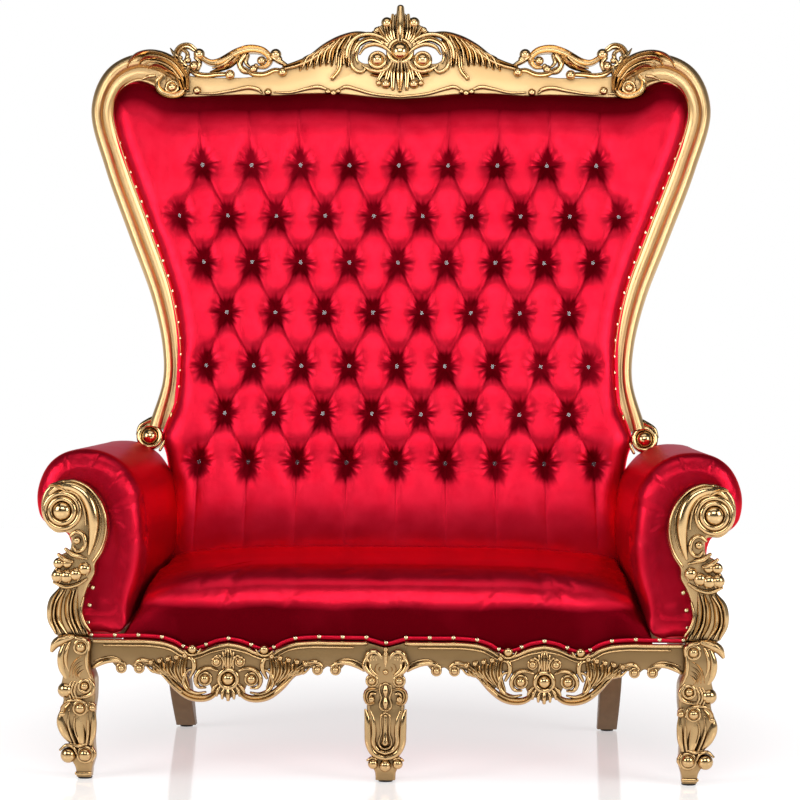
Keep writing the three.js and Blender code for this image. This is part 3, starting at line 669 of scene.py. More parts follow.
def crest_centre(carving):
    """One side of the middle: the great scroll, and the petals of the shell round its boss."""
    great = [(26, 1752), (45, 1773), (76, 1784), (104, 1772), (119, 1748)]
    carving.band(great, [10, 13, 15, 15, 10], y=-3, rise=0.8, kind="veined")
    outer = [(20, 1762), (42, 1785), (78, 1797), (112, 1789), (134, 1764), (138, 1734)]
    carving.band(outer, [9, 12, 14, 14, 13, 8], y=-2, rise=0.8)
    inner = [(20, 1744), (38, 1761), (66, 1770), (92, 1762), (104, 1744)]
    carving.band(inner, [8, 11, 12, 11, 6], y=-5, rise=0.85)
    carving.ring(58, 1728, 19, 6, -6)
    carving.ball(58, 1729, 18, -7)
    below = [(92, 1712), (78, 1703), (56, 1697), (34, 1705), (20, 1732)]
    carving.band(below, [6, 11, 12, 12, 9], y=-4, rise=0.85)
    lowest = [(74, 1690), (48, 1688), (28, 1698), (14, 1724)]
    carving.band(lowest, [5, 10, 10, 7], y=-3, rise=0.8, kind="keeled")
    petals = [
        ((20, 1850), [9, 16, 8]), ((38, 1816), [8, 15, 14]), ((56, 1814), [8, 16, 13]),
        ((70, 1802), [8, 17, 12]), ((80, 1790), [8, 15, 9]),
    ]
    for tip, widths in petals:
        carving.band(leaf_between((12, 1766), tip, -6), widths, y=-1, rise=0.75, kind="veined")
    carving.ball(35, 1829, 15, 0)
    carving.ball(60, 1809, 9, 0)
    drops = [((18, 1652), [8, 15, 9]), ((36, 1666), [7, 14, 11]), ((56, 1674), [7, 13, 9])]
    for tip, widths in drops:
        carving.band(leaf_between((9, 1738), tip, 4), widths, y=-4, rise=0.75, kind="veined")
    carving.ball(36, 1666, 13, -4)
    carving.ball(54, 1668, 8, -4)


def crest_lower_edge(carving):
    """Raised mouldings and beads along the lower edge."""
    mouldings = [
        (
            [(519, 1640), (480, 1640), (430, 1648), (388, 1656), (362, 1650), (354, 1642)],
            [5, 7, 9, 12, 11, 6],
        ),
        ([(322, 1644), (282, 1643), (240, 1653), (208, 1658), (184, 1650)], [5, 7, 9, 12, 7]),
        ([(158, 1650), (140, 1658), (118, 1654), (70, 1640), (0, 1632)], [7, 11, 10, 8, 7]),
        ([(600, 1648), (560, 1641), (534, 1641)], [6, 6, 5]),
    ]
    for line, widths in mouldings:
        carving.band(line, widths, y=-2)
    beads = [(521, 1648, 11), (338, 1644, 10), (184, 1646, 8), (170, 1642, 9), (158, 1647, 7)]
    for x, z, radius in beads:
        carving.ball(x, z, radius, -3)


def crest_middle(carving):
    """The rail sawn from one board, the shield behind the shell, its boss and middle petals."""
    low, top = through(CREST_LOW, 60), through(CREST_TOP, 90)
    rail = [low, low[-2::-1] * OTHER_HALF, top[::-1] * OTHER_HALF, top[1:]]
    carving.board(np.concatenate(rail), 0, FRAME_BACK - 6, edge=4)
    shield = [(-22, 1846), (-64, 1806), (-34, 1762), (34, 1762), (64, 1806), (22, 1846), (0, 1862)]
    carving.board(shield, 2, 24)
    carving.ball(0, 1752, 24, -8, 0.9)
    carving.ring(0, 1752, 30, 6.5, -6)
    carving.band([(0, 1764), (0, 1812), (0, 1868)], [13, 26, 19], y=-4, rise=0.7)
    for bow in (-7, 7):
        rib = [(bow / 2, 1776), (bow, 1812), (bow / 2, 1856)]
        carving.band(rib, [4, 6, 3], y=-18, rise=0.9)
    drop = [(0, 1742), (0, 1690), (0, 1648)]
    carving.band(drop, [10, 21, 11], y=-5, rise=0.75, kind="veined")


crest_carving = Carving(leaned)
for part in (crest_corner, crest_sprig, crest_chain, crest_wing, crest_centre, crest_lower_edge):
    part(crest_carving)
crest_carving.mirrored()
crest_middle(crest_carving)
crest = crest_carving.piece("crest", gold)
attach(crest, "root")
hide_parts("back_frame")


# ---- Arm posts ----
# Each arm ends in a carved post: a volute over a shell and a fall of drapery, cut from one
# thick board, gilded, and screwed to the front of the arm.

POST_FRONT = -410
POST_BACK = -378.4
POST_OUTLINE = [  # from the inner foot, up over the volute and down the outer side
    (662, 318), (671, 345), (679, 374), (675, 401), (665, 430), (651, 457), (650, 478), (634, 505),
    (622, 547), (623, 576), (634, 614), (652, 640), (681, 660), (713, 667), (742, 660), (764, 640),
    (772, 608), (765, 575), (740, 549), (708, 546), (708, 508), (726, 499), (732, 478), (744, 463),
    (744, 441), (731, 423), (747, 400), (752, 374), (747, 345), (734, 318),
]


def post_carving():
    """The right-hand post: rim, broad scroll, volute, comma, shell and drapery."""
    y = POST_FRONT
    carving = Carving(upright)
    carving.board(POST_OUTLINE, y, POST_BACK, edge=5, plain=0.3)
    rim = [
        (722, 663), (700, 664), (676, 656), (653, 638), (635, 610), (626, 578), (627, 547),
        (636, 514), (655, 484),
    ]
    carving.band(rim, [5, 7, 7, 7, 7, 7, 7, 6, 5], y=y + 1, rise=1.0)
    groove = [(712, 658), (690, 655), (664, 641), (645, 612), (637, 576), (641, 540), (654, 506)]
    carving.band(groove, [3, 4, 4, 4, 4, 4, 3], y=y + 1, rise=0.9)
    scroll = [
        (752, 634), (733, 650), (704, 651), (677, 637), (659, 607), (653, 570), (656, 534),
        (664, 500),
    ]
    carving.band(scroll, [8, 17, 24, 27, 28, 26, 19, 7], y=y + 1, rise=0.55)
    inner = [(742, 628), (722, 640), (698, 638), (682, 622), (673, 596), (670, 566)]
    carving.band(inner, [4, 6, 7, 7, 6, 4], y=y - 2, rise=0.8)
    lip = [(752, 652), (740, 655), (724, 650), (712, 640)]
    carving.band(lip, [6, 12, 14, 6], y=y - 4, kind="veined")
    carving.ring(724, 597, 39, 6.5, y)
    carving.ring(724, 597, 27, 6.5, y - 3)
    carving.ball(724, 597, 21, y - 3, 0.75)
    comma = [(706, 541), (692, 551), (677, 545), (671, 526), (678, 510), (692, 508), (698, 517)]
    carving.band(comma, [7, 10, 11, 11, 10, 9, 6], y=y - 1, rise=0.8)
    carving.ball(690, 531, 9, y - 1)
    carving.band([(716, 512), (700, 500), (684, 496), (668, 490)], [8, 13, 12, 6], y=y, rise=0.8)
    carving.band([(732, 500), (716, 488), (700, 484)], [8, 13, 9], y=y, rise=0.9)
    for x, z, radius in ((731, 480, 13), (712, 480, 12)):
        carving.ball(x, z, radius, y + 1, 0.8)
    lobes = ((733, 452, 15), (713, 451, 16), (693, 456, 15), (673, 468, 15))
    for x, z, radius in lobes:
        carving.ball(x, z, radius, y - 1, 0.9)
        carving.band([(x - 3, z + 14), (x - 11, z), (x - 5, z - 14)], [4, 7, 4], y=y - 4, rise=0.9)
    carving.band([(742, 438), (716, 428), (690, 433), (668, 446)], [7, 11, 11, 7], y=y, rise=0.7)
    folds = (
        [(728, 424), (746, 396), (749, 356), (736, 324)],
        [(714, 424), (729, 392), (730, 354), (712, 322)],
        [(702, 424), (711, 392), (709, 356), (694, 322)],
        [(690, 426), (694, 394), (691, 360), (678, 326)],
    )
    for fold in folds:
        carving.band(fold, [6, 15, 15, 8], y=y + 1, rise=0.6, kind="keeled")
    creases = (
        [(721, 420), (738, 390), (740, 355), (724, 322)],
        [(696, 420), (703, 390), (700, 356), (686, 324)],
    )
    for crease in creases:
        carving.band(crease, [4, 5, 5, 4], y=y - 3, rise=0.9)
    carving.band([(660, 330), (673, 350), (680, 376), (674, 404)], [5, 8, 8, 4], y=y, rise=0.8)
    return carving


for side, hand in ((1, "right"), (-1, "left")):
    post = post_carving().piece("post_" + hand, gold, side)
    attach(post, "root")
    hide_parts("arm_post_" + hand)


# ---- Front legs ----
# The three front legs are turned-out blocks carved on the face: a leaf and volute at the top,
# beads at the knee, flutes down the shaft and beads over a plain square foot.

LEG_FACE = -423  # the plane from which the carving on the legs stands out
CORNER_BODY = [  # height, inner side, outer side, front and rear of a corner leg's block
    (5, 656, 689, -413, -376), (30, 654, 691, -414, -374), (40, 648, 700, -416, -372),
    (56, 648, 716, -418, -371), (76, 650, 704, -414, -372), (92, 650, 703, -418, -373),
    (120, 650, 719, -424, -370), (145, 650, 727, -428, -368), (165, 648, 722, -424, -366),
    (180, 646, 716, -420, -364), (198, 646, 728, -424, -362), (226, 646, 720, -426, -358),
    (245, 656, 719, -428, -356.4), (270, 660, 722, -428, -356.4), (300, 660, 728, -426, -356.4),
    (317, 661, 731, -424, -356.4),
]
CENTRE_BODY = [
    (5, -22, 22, -414, -376), (28, -23, 23, -414, -374), (34, -32, 32, -416, -373),
    (46, -36, 36, -418, -372), (58, -28, 28, -414, -372), (84, -33, 33, -420, -372),
    (112, -36, 36, -424, -370), (140, -37, 37, -427, -368), (162, -43, 43, -424, -366),
    (182, -41, 41, -420, -364), (206, -41, 41, -422, -362), (232, -39, 39, -426, -360),
    (262, -42, 42, -428, -358), (283, -42, 42, -428, -356.4),
]


def squared_ring(left, right, front, back, power):
    """Rings of forty points round rectangles whose corners are rounded as superellipses.

    A point at angle a stands at the middle plus half the size times the cosine and sine of a,
    each raised to the power with its sign kept, so that the faces stay nearly flat.
    """
    angle = np.linspace(0, 2 * math.pi, 40, endpoint=False)
    square = [np.sign(f) * np.abs(f) ** power for f in (np.cos(angle), np.sin(angle))]
    x = (left + right) / 2 + (right - left) / 2 * square[0]
    y = (front + back) / 2 + (back - front) / 2 * square[1]
    return x, y


def leg_body(carving, levels):
    """The leg's block: a rounded rectangle at each height, its sides evened out as they rise.

    Each side is read off between the levels and replaced by the mean of five heights.
    """
    heights = np.linspace(levels[0][0], levels[-1][0], 70)
    table = np.array(levels, float).T
    sides = [
        np.convolve(
            np.pad(np.interp(heights, table[0], row), 2, mode="edge"), np.ones(5) / 5, mode="valid"
        )[:, None]
        for row in table[1:]
    ]
    x, y = squared_ring(*sides, power=0.28)
    carving.shell(np.stack([x, y, heights[:, None] + 0 * x], axis=-1), plain=0.6)


def corner_leg_carving():
    """The right-hand corner leg: leaf, ribbed scroll, knee with its rosette, petals, beads."""
    y = LEG_FACE
    carving = Carving(upright)
    leg_body(carving, CORNER_BODY)
    carving.band([(696, 317), (718, 312), (735, 302), (744, 286)], [12, 22, 21, 9], y=y + 3)
    carving.band([(704, 320), (724, 315), (740, 302)], [4, 6, 3], y=y - 7, rise=0.9)
    carving.band([(690, 316), (672, 313), (661, 304), (661, 288)], [8, 11, 10, 6], y=y, rise=0.8)
    carving.ring(678, 296, 14, 4.5, y - 2)
    carving.ball(678, 296, 11, y - 5)
    carving.band([(662, 300), (665, 278), (664, 252), (655, 226)], [7, 10, 10, 6], y=y, rise=0.7)
    fall = [(714, 302), (722, 276), (720, 248), (708, 222)]
    carving.band(fall, [12, 18, 17, 8], y=y + 2, rise=0.5)
    carving.band([(702, 306), (710, 286), (711, 262), (704, 240)], [6, 10, 9, 4], y=y - 1, rise=0.8)
    for k in range(4):
        rib = [(670 - k, 278 - 10 * k), (687 - 3 * k, 268 - 9 * k), (698 - 5 * k, 252 - 6 * k)]
        carving.band([*rib, (703 - 8 * k, 229 - k)], [5, 10, 10, 5], y=y - 1, kind="keeled")
    carving.ball(713, 199, 18, y + 6)
    for x in (701, 694, 687):
        carving.band([(x - 3, 219), (x + 5, 200), (x - 1, 181)], [5, 8, 5], y=y, rise=0.8)
    carving.ring(669, 209, 13, 4.5, y - 1)
    carving.ball(669, 209, 9, y - 4)
    knee = [(660, 226), (650, 210), (654, 192), (674, 184), (694, 185)]
    carving.band(knee, [6, 10, 11, 9, 5], y=y)
    carving.band([(708, 175), (696, 178), (682, 177), (666, 172)], [6, 9, 9, 5], y=y, rise=0.8)
    carving.ring(679, 160, 14, 4.5, y - 1)
    carving.ball(679, 160, 12, y - 4)
    carving.band([(704, 172), (715, 162), (719, 148)], [9, 14, 8], y=y, kind="hollow")
    carving.ball(719, 147, 8, y + 2)
    carving.ball(652, 160, 8, y)
    carving.band([(658, 172), (648, 168), (645, 156)], [5, 7, 4], y=y + 2, rise=0.8)
    outer_petal = [(717, 156), (721, 130), (713, 104), (700, 83)]
    carving.band(outer_petal, [14, 24, 22, 10], y=y + 6, rise=0.45)
    carving.band([(703, 156), (705, 128), (698, 102), (690, 80)], [5, 8, 7, 4], y=y - 1, rise=0.8)
    front_petal = [(682, 150), (683, 122), (679, 98), (674, 77)]
    carving.band(front_petal, [26, 31, 27, 16], y=y + 5, rise=0.32)
    carving.band([(690, 144), (692, 120), (686, 96)], [4, 5, 3], y=y - 4, rise=0.7)
    carving.band([(662, 156), (661, 124), (662, 98), (665, 78)], [5, 8, 7, 4], y=y - 1, rise=0.8)
    carving.band([(651, 156), (650, 128), (652, 98), (657, 78)], [10, 15, 14, 7], y=y + 4, rise=0.5)
    carving.band([(700, 81), (684, 75), (666, 80)], [6, 10, 6], y=y + 3, rise=0.8)
    carving.ball(706, 54, 18, y + 8)
    carving.band([(724, 66), (710, 77), (694, 73), (686, 58)], [5, 8, 8, 5], y=y, rise=0.8)
    carving.ring(668, 56, 16, 4.5, y + 4)
    carving.ball(668, 56, 15, y + 2)
    carving.band([(652, 72), (646, 57), (653, 42)], [5, 8, 5], y=y + 5, rise=0.8)
    carving.band([(657, 13), (673, 12), (689, 13)], [8, 9, 8], y=y + 9, rise=0.3)
    return carving


for side, hand in ((1, "right"), (-1, "left")):
    leg = corner_leg_carving().piece("corner_leg_" + hand, gold, side)
    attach(leg, "root")
    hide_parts("leg_front_" + hand)


def centre_leg_carving():
    """The middle leg: half of it is carved and turned over, then the block and the stem added."""
    y = LEG_FACE
    carving = Carving(upright)
    leaf = [(7, 262), (11, 280), (24, 291), (38, 287), (42, 274), (32, 268)]
    carving.band(leaf, [6, 9, 12, 12, 9, 6], y=y)
    for x in (19, 25, 31):
        carving.band([(x, 284), (x + 2, 276), (x + 1, 268)], [3, 6, 3], y=y - 1, rise=0.8)
    carving.band([(43, 278), (47, 262), (39, 248), (24, 237)], [7, 12, 11, 6], y=y, rise=0.7)
    carving.band([(34, 264), (34, 254), (27, 246), (17, 238)], [4, 8, 8, 4], y=y - 1, rise=0.8)
    carving.band([(6, 264), (17, 260), (19, 250), (9, 240)], [5, 11, 10, 4], y=y, kind="hollow")
    carving.ring(30, 227, 11, 4, y)
    carving.ball(30, 227, 9, y - 3)
    scroll = [(17, 206), (29, 209), (41, 203), (44, 190), (38, 177), (26, 178)]
    carving.band(scroll, [6, 10, 12, 12, 10, 7], y=y, kind="veined")
    carving.band([(21, 198), (30, 199), (36, 192)], [4, 8, 5], y=y - 1, rise=0.8)
    carving.ball(31, 186, 7.5, y - 3)
    neck = [(0, 222), (11, 217), (13, 204), (9, 191), (13, 176), (10, 165), (0, 161)]
    carving.band(neck, [6, 6, 6, 6, 6, 6, 6], y=y, rise=0.9)
    petal = [(45, 162), (40, 142), (38, 112), (36, 86), (24, 64), (0, 55)]
    carving.band(petal, [5, 14, 17, 17, 15, 13], y=y + 4, rise=0.5)
    petal = [(33, 160), (27, 140), (25, 112), (26, 90), (17, 74), (0, 67)]
    carving.band(petal, [4, 11, 12, 12, 10, 9], y=y + 1)
    drop = [(0, 157), (9, 151), (10, 132), (9, 112), (14, 92), (10, 80), (0, 76)]
    carving.band(drop, [5, 6, 6, 6, 6, 6, 5], y=y, rise=0.9)
    carving.ball(27, 42, 12, y + 7)
    carving.band([(40, 50), (30, 56), (19, 52)], [5, 7, 4], y=y + 3, rise=0.8)
    carving.mirrored()
    leg_body(carving, CENTRE_BODY)
    shoulder = [(54, 264), (54, 310), (30, 305), (0, 298), (-30, 305), (-54, 310), (-54, 264)]
    carving.board(shoulder, -407.4, -396.5, edge=1, dense=2.0)
    carving.band([(0, 300), (0, 284), (0, 266), (0, 256)], [6, 11, 9, 5], y=y, rise=0.8)
    for z, radius in ((297, 6), (286, 5.5), (247, 6.5)):
        carving.ball(0, z, radius, y - 4)
    carving.band([(0, 216), (0, 205), (0, 193)], [9, 15, 7], y=y - 1)
    carving.band([(0, 190), (0, 179), (0, 168)], [7, 14, 9], y=y - 1)
    carving.band([(0, 150), (0, 128), (0, 110), (0, 90)], [9, 11, 12, 18], y=y, rise=0.75)
    carving.ball(0, 38, 14, y + 7)
    return carving


middle_leg = centre_leg_carving().piece("centre_leg", gold)
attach(middle_leg, "root")
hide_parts("leg_front_centre")


# ---- Apron ----
# Two runs of carved and pierced apron hang between the front legs. Each run is a board with a
# shaped lower edge, a double ridge along its top and a rosette with scrolls at its middle.

RUN_MIDDLE = 351  # from the throne's middle to the middle of a run
RUN = 307  # half a run's length
APRON_FRONT = -408
APRON_BACK = -396
APRON_TOP = [  # from the middle of a run outwards
    (0, 306), (29, 301), (63, 287), (85, 283), (101, 287), (119, 298), (146, 307), (186, 311),
    (240, 311), (RUN, 311),
]
APRON_LOW = [
    (RUN, 250), (288, 254), (264, 261), (242, 243), (222, 255), (202, 241), (186, 251), (168, 246),
    (141, 224), (118, 208), (104, 214), (108, 236), (96, 247), (66, 240), (44, 216), (30, 190),
    (18, 190), (0, 179),
]


def apron_carving(side):
    """One run: half of it is carved and turned over, then the rosette and palmette added."""
    y = APRON_FRONT
    carving = Carving(lambda flat: upright(flat + [side * RUN_MIDDLE, 0, 0]))
    ridge = through(APRON_TOP, 16)
    carving.band(ridge - [0, 4], [9] * 16, y=y + 1, rise=0.7)
    carving.band(ridge[::2] - [0, 13], [6] * 8, y=y + 1, rise=0.8)
    carving.ball(80, 292, 11, y - 2)
    carving.band([(62, 292), (70, 281), (86, 279), (98, 288)], [5, 7, 7, 5], y=y - 2, rise=0.9)
    carving.band([(104, 284), (92, 276), (84, 266)], [7, 8, 3], y=y, rise=0.8, kind="keeled")
    sweep = [
        (24, 214), (28, 196), (42, 185), (64, 182), (90, 188), (118, 208), (142, 234), (166, 256),
        (190, 262),
    ]
    carving.band(sweep, [8, 12, 15, 17, 17, 15, 13, 12, 6], y=y, rise=0.65, kind="veined")
    inside = [(50, 196), (70, 193), (92, 203), (100, 224), (92, 242), (74, 248)]
    carving.band(inside, [5, 8, 10, 10, 8, 4], y=y - 1, rise=0.8)
    for share in (0.0, 0.22, 0.44, 0.66, 0.88):
        root = np.array([88, 204]) + share * np.array([58, 38])
        tip = np.array([94, 280]) + share * np.array([86, -18])
        carving.band(leaf_between(root, tip, -9), [9, 16, 11], y=y, rise=0.6, kind="veined")
        carving.ball(*(tip + [3, -3]), 6, y - 3)
        beside = leaf_between(root + [9, 6], tip + [12, -12], -8)
        carving.band(beside, [4, 7, 4], y=y - 1, rise=0.8)
    carving.band([(86, 228), (76, 250), (80, 270), (90, 272)], [7, 12, 12, 7], y=y, rise=0.7)
    carving.band([(104, 196), (128, 216), (152, 240)], [5, 7, 4], y=y - 6, rise=0.8)
    eye_scroll = [(24, 244), (42, 250), (62, 244), (73, 226), (66, 208), (50, 206)]
    carving.band(eye_scroll, [6, 9, 11, 11, 9, 5], y=y - 1, rise=0.8)
    carving.ring(52, 226, 13, 4, y - 1)
    carving.ball(52, 226, 11, y - 4)
    for x in (239, 199):
        carving.ring(x, 248, 9, 3.5, y)
        carving.ball(x, 248, 8, y - 3)
    arch = [(230, 256), (246, 264), (268, 264), (290, 256), (303, 248)]
    carving.band(arch, [6, 11, 12, 11, 8], y=y)
    carving.band([(236, 264), (256, 272), (280, 270), (300, 262)], [3, 5, 5, 3], y=y, rise=0.8)
    carving.band([(210, 256), (196, 266), (176, 264)], [6, 11, 7], y=y, rise=0.7)
    carving.ring(26, 264, 9, 3.5, y - 1)
    carving.ball(26, 264, 9, y - 3)
    carving.band([(31, 274), (20, 278), (11, 268), (12, 250)], [4, 7, 7, 5], y=y - 1, rise=0.8)
    for tip_x, tip_z in ((5, 290), (12, 286)):
        frond = leaf_between((2 + tip_x * 0.3, 252), (tip_x, tip_z), -2)
        carving.band(frond, [4, 7, 4], y=y - 1, rise=0.9)
    for root, tip in (((8, 206), (13, 182)), ((17, 210), (26, 188)), ((24, 214), (36, 196))):
        carving.band(leaf_between(root, tip, 2), [6, 10, 6], y=y, rise=0.8)
    carving.mirrored()
    top, low = through(APRON_TOP, 70), through(APRON_LOW, 120)
    outline = [top, low, low[-2::-1] * OTHER_HALF, top[:0:-1] * OTHER_HALF]
    carving.board(np.concatenate(outline), y, APRON_BACK, edge=3)
    carving.ring(0, 226, 20, 6, y - 1)
    carving.ball(0, 226, 14, y - 2, 0.9)
    carving.band([(0, 250), (0, 270), (0, 291)], [5, 8, 5], y=y - 2, rise=0.9)
    carving.band([(0, 206), (0, 190), (0, 179)], [7, 12, 8], y=y, rise=0.8)
    shelf_top = through([(-RUN + 2, 283), (RUN - 2, 283)], 12)
    shelf = np.concatenate([shelf_top, shelf_top[::-1] - [0, 20]])
    carving.board(shelf, APRON_BACK - 1, APRON_BACK + 24, edge=2)
    return carving


for side, hand in ((1, "right"), (-1, "left")):
    run = apron_carving(side).piece("apron_" + hand, gold)
    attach(run, "root")
    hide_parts("front_rail_" + hand)


# ---- Side and rear rails, rear legs ----
# Plain wood under a duller bronze paint: flat rails with eased edges that carry the seat, and a
# pair of sabre legs that sweep back from the rear rail.


def bronze_paint():
    """Satin bronze paint, a little streaked along the wood."""
    material, shade, put = finish("bronze_paint", Metallic=0.75)
    spot = shade.node("ShaderNodeTexCoord", out="Object")
    streak = shade.node("ShaderNodeMapping", Vector=spot, Scale=(60.0, 60.0, 8.0))
    cloud = shade.node("ShaderNodeTexNoise", Vector=streak, Scale=1.0, Detail=4.0)
    put(
        Base_Color=cloud.blend((0.17, 0.10, 0.05, 1), (0.27, 0.165, 0.085, 1)),
        Roughness=0.38 + cloud * 0.12,
    )
    return material


bronze = bronze_paint()


def eased_bar(name, node, ease=6):
    """A bar as long and deep as its node, its section a rectangle with quarter-round edges."""
    low, high = (np.array(corner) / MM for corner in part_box(node))
    run = int(np.argmax(high - low))
    first, second = [axis for axis in range(3) if axis != run]
    quarter = np.linspace(0, math.pi / 2, 6)
    angle = np.concatenate([quarter + k * math.pi / 2 for k in range(4)])
    sign = [np.repeat(s, 6) for s in ([1, -1, -1, 1], [1, 1, -1, -1])]
    half = (high - low) / 2
    middle = (high + low) / 2
    ends = np.array([-1, -1, -0.98, 0.98, 1, 1])
    inset = np.array([3, 0, 0, 0, 0, 3])[:, None]
    bar = np.empty((6, 24, 3))
    bar[..., run] = (middle[run] + ends * half[run])[:, None]
    for axis, hand, turn in ((first, sign[0], np.cos(angle)), (second, sign[1], np.sin(angle))):
        bar[..., axis] = middle[axis] + hand * (half[axis] - ease - inset) + ease * turn
    carving = Carving(lambda flat: flat * MM)
    carving.shell(bar, plain=1.0)
    made = carving.piece(name, bronze)
    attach(made, "root")
    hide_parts(node)


eased_bar("rail_right", "side_rail_right")
eased_bar("rail_left", "side_rail_left")
eased_bar("rail_behind", "rear_rail")

SABRE_MIDDLE = 535.5
SABRE = [  # height, front and rear of a sabre leg
    (5, 318, 358), (30, 286, 335), (60, 249, 313), (90, 217, 282), (118, 190, 255),
    (150, 168, 230), (184, 151, 212), (215, 144, 204), (249.6, 140, 200),
]


def sabre_leg(hand, side):
    """A square leg that tapers as it sweeps back, its arrises rounded as a superellipse."""
    heights = np.linspace(SABRE[0][0], SABRE[-1][0], 40)
    z, front, back = np.array(SABRE, float).T
    front, back = (through(np.column_stack([z, edge]), 60) for edge in (front, back))
    front, back = (np.interp(heights, edge[:, 0], edge[:, 1])[:, None] for edge in (front, back))
    half = np.interp(heights, [5, 250], [25, 28])[:, None]
    x, y = squared_ring(SABRE_MIDDLE - half, SABRE_MIDDLE + half, front, back, power=0.22)
    carving = Carving(upright)
    carving.shell(np.stack([x, y, heights[:, None] + 0 * x], axis=-1), plain=1.0)
    made = carving.piece("sabre_leg_" + hand, bronze, side)
    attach(made, "root")
    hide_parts("leg_rear_" + hand)


sabre_leg("right", 1)
sabre_leg("left", -1)


# ---- Glides ----
# Five dark pads nailed under the feet, moulded plastic with a felt face.


def glide_dark():
    """Matt black with the faint mottle of felt."""
    material, shade, put = finish("glide_felt", Specular_IOR_Level=0.3)
    spot = shade.node("ShaderNodeTexCoord", out="Object")
    fluff = shade.node("ShaderNodeTexNoise", Vector=spot, Scale=900.0, Detail=3.0)
    put(
        Base_Color=fluff.blend((0.018, 0.016, 0.015, 1), (0.05, 0.045, 0.042, 1)),
        Roughness=0.7 + fluff * 0.2,
        Normal=shade.rough(fluff, 0.3, 0.0005),
    )
    return material


felt = glide_dark()
for node in [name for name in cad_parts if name.startswith("glide")]:
    low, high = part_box(node)
    x, y = (low.x + high.x) / 2 / MM, (low.y + high.y) / 2 / MM
    turn = np.linspace(0, 2 * math.pi, 32, endpoint=False)
    radius = np.array([13, 15.4, 16, 16, 14.5])[:, None]
    height = np.array([0, 0, 0.8, 3.4, 4.6])[:, None]
    rings = [x + radius * np.cos(turn), y + radius * np.sin(turn), height + 0 * turn]
    puck = Carving(lambda flat: flat * MM)
    puck.shell(np.stack(rings, axis=-1))
    pad = puck.piece(node.replace("glide", "pad"), felt)
    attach(pad, "root")
    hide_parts(node)


# ---- Upholstered back ----
# Thick padding under red satin, drawn down by sixty-two buttons in rows. The cloth is folded
# into pleats from button to button, and straight up and down from the first and last rows.

PAD_EDGE = 2  # depth of the padding where it tucks in at the frame
PAD_CROWN = 36  # how far it stands in front of that
PAD_FOOT = 332
PIT_DEPTH = 31  # the cloth is never drawn in deeper than this
PIT_REACH = 70  # how far from a pleat the cloth is worked out
OPENING_SIDE = [  # height up the frame, half width
    (332, 599), (380, 582), (440, 572), (560, 566), (640, 567), (705, 576), (750, 589), (785, 580),
    (835, 561), (899, 554), (1002, 555), (1118, 576), (1221, 610), (1345, 658), (1431, 692),
    (1510, 722), (1590, 741), (1700, 741),
]
OPENING_TOP = [  # half width, height up the frame
    (0, 1634), (61, 1638), (150, 1647), (237, 1648), (314, 1643), (381, 1645), (460, 1643),
    (545, 1639), (604, 1645), (632, 1660), (656, 1674), (694, 1674), (716, 1660), (730, 1634),
    (741, 1590),
]
BUTTON_ROWS = [  # height up the frame, distance of the last button from the middle, buttons
    (1449, 501, 9), (1317, 557, 10), (1197, 492, 9), (1068, 431, 8), (932, 480, 9),
    (811, 430, 8), (688, 492, 9),
]


def satin():
    """Red satin: a tinted metallic sheen over red, maroon painted shade in the folds, with a fine
    weave.
    """
    material, shade, put = finish(
        "satin", Metallic=0.85, Specular_IOR_Level=0.3, Specular_Tint=(1.0, 0.12, 0.28, 1)
    )
    spot = shade.node("ShaderNodeTexCoord", out="Object")
    hollow = shade.node("ShaderNodeAttribute", {"attribute_name": "hollow"}, out="Fac")
    nap = shade.node("ShaderNodeTexNoise", Vector=spot, Scale=22.0, Detail=5.0, Roughness=0.6)
    stretch = shade.node("ShaderNodeMapping", Vector=spot, Scale=(1500.0, 60.0, 60.0))
    thread = shade.node("ShaderNodeTexNoise", Vector=stretch, Scale=1.0, Detail=1.0)
    drift = shade.node("ShaderNodeTexNoise", Vector=spot, Scale=5.0, Detail=3.0)
    lit = nap.blend((0.50, 0.0015, 0.014, 1), (0.68, 0.016, 0.044, 1))
    # painted shade where the hollow marks say, plus a slow random change of tone
    dark = (hollow + (drift - 0.52) * 0.7).held()
    weave = shade.rough(thread, 1.0, 0.00022)
    put(
        Base_Color=dark.blend(lit, (0.12, 0.0, 0.003, 1)),
        Roughness=0.27 + nap * 0.12 + hollow * 0.2,
        Normal=shade.rough(nap, 0.14, 0.0014, Normal=weave),
    )
    return material


red_satin = satin()


def opening_grid(columns, rows):
    """Places over the opening: half widths follow its sides and the top row its upper edge."""
    u = np.linspace(-1, 1, columns)
    v = np.linspace(0, 1, rows)[:, None]
    top = through(OPENING_TOP, 120)
    ceiling = np.interp(np.abs(u) * OPENING_SIDE[-1][1], top[:, 0], top[:, 1])
    s = PAD_FOOT + v * (ceiling - PAD_FOOT)
    sides = through(OPENING_SIDE, 160)
    x = u * np.interp(s, sides[:, 0], sides[:, 1])
    return x, s, u, v


def button_places():
    """Rows of (across, up) for the buttons, each row evenly spaced about the middle."""
    return [
        np.column_stack([np.linspace(-reach, reach, count), np.full(count, s)])
        for s, reach, count in BUTTON_ROWS
    ]


def to_segment(x, s, start, end):
    """Distance from each place to a segment, and how far along it the nearest point is."""
    run = end - start
    along = ((x - start[0]) * run[0] + (s - start[1]) * run[1]) / (run @ run)
    along = np.clip(along, 0, 1)
    gap = np.hypot(x - start[0] - along * run[0], s - start[1] - along * run[1])
    return gap, along


def pleats():
    """Start and end of each pleat: to both neighbours in the next row, then up and down."""
    rows = button_places()
    lines = []
    for upper, lower in zip(rows, rows[1:]):
        lines += [(a, b) for a in upper for b in lower if abs(a[0] - b[0]) < 100]
    lines += [(a, a + [a[0] * 0.03, 190]) for a in rows[0]]
    lines += [(a, a + [a[0] * 0.02, -230]) for a in rows[-1]]
    return lines


def lobe(angle, at, width):
    """A bell of the angle away from a direction, one there and a third at the width."""
    return np.exp((np.cos(angle - at) - 1) / (1 - math.cos(width)))


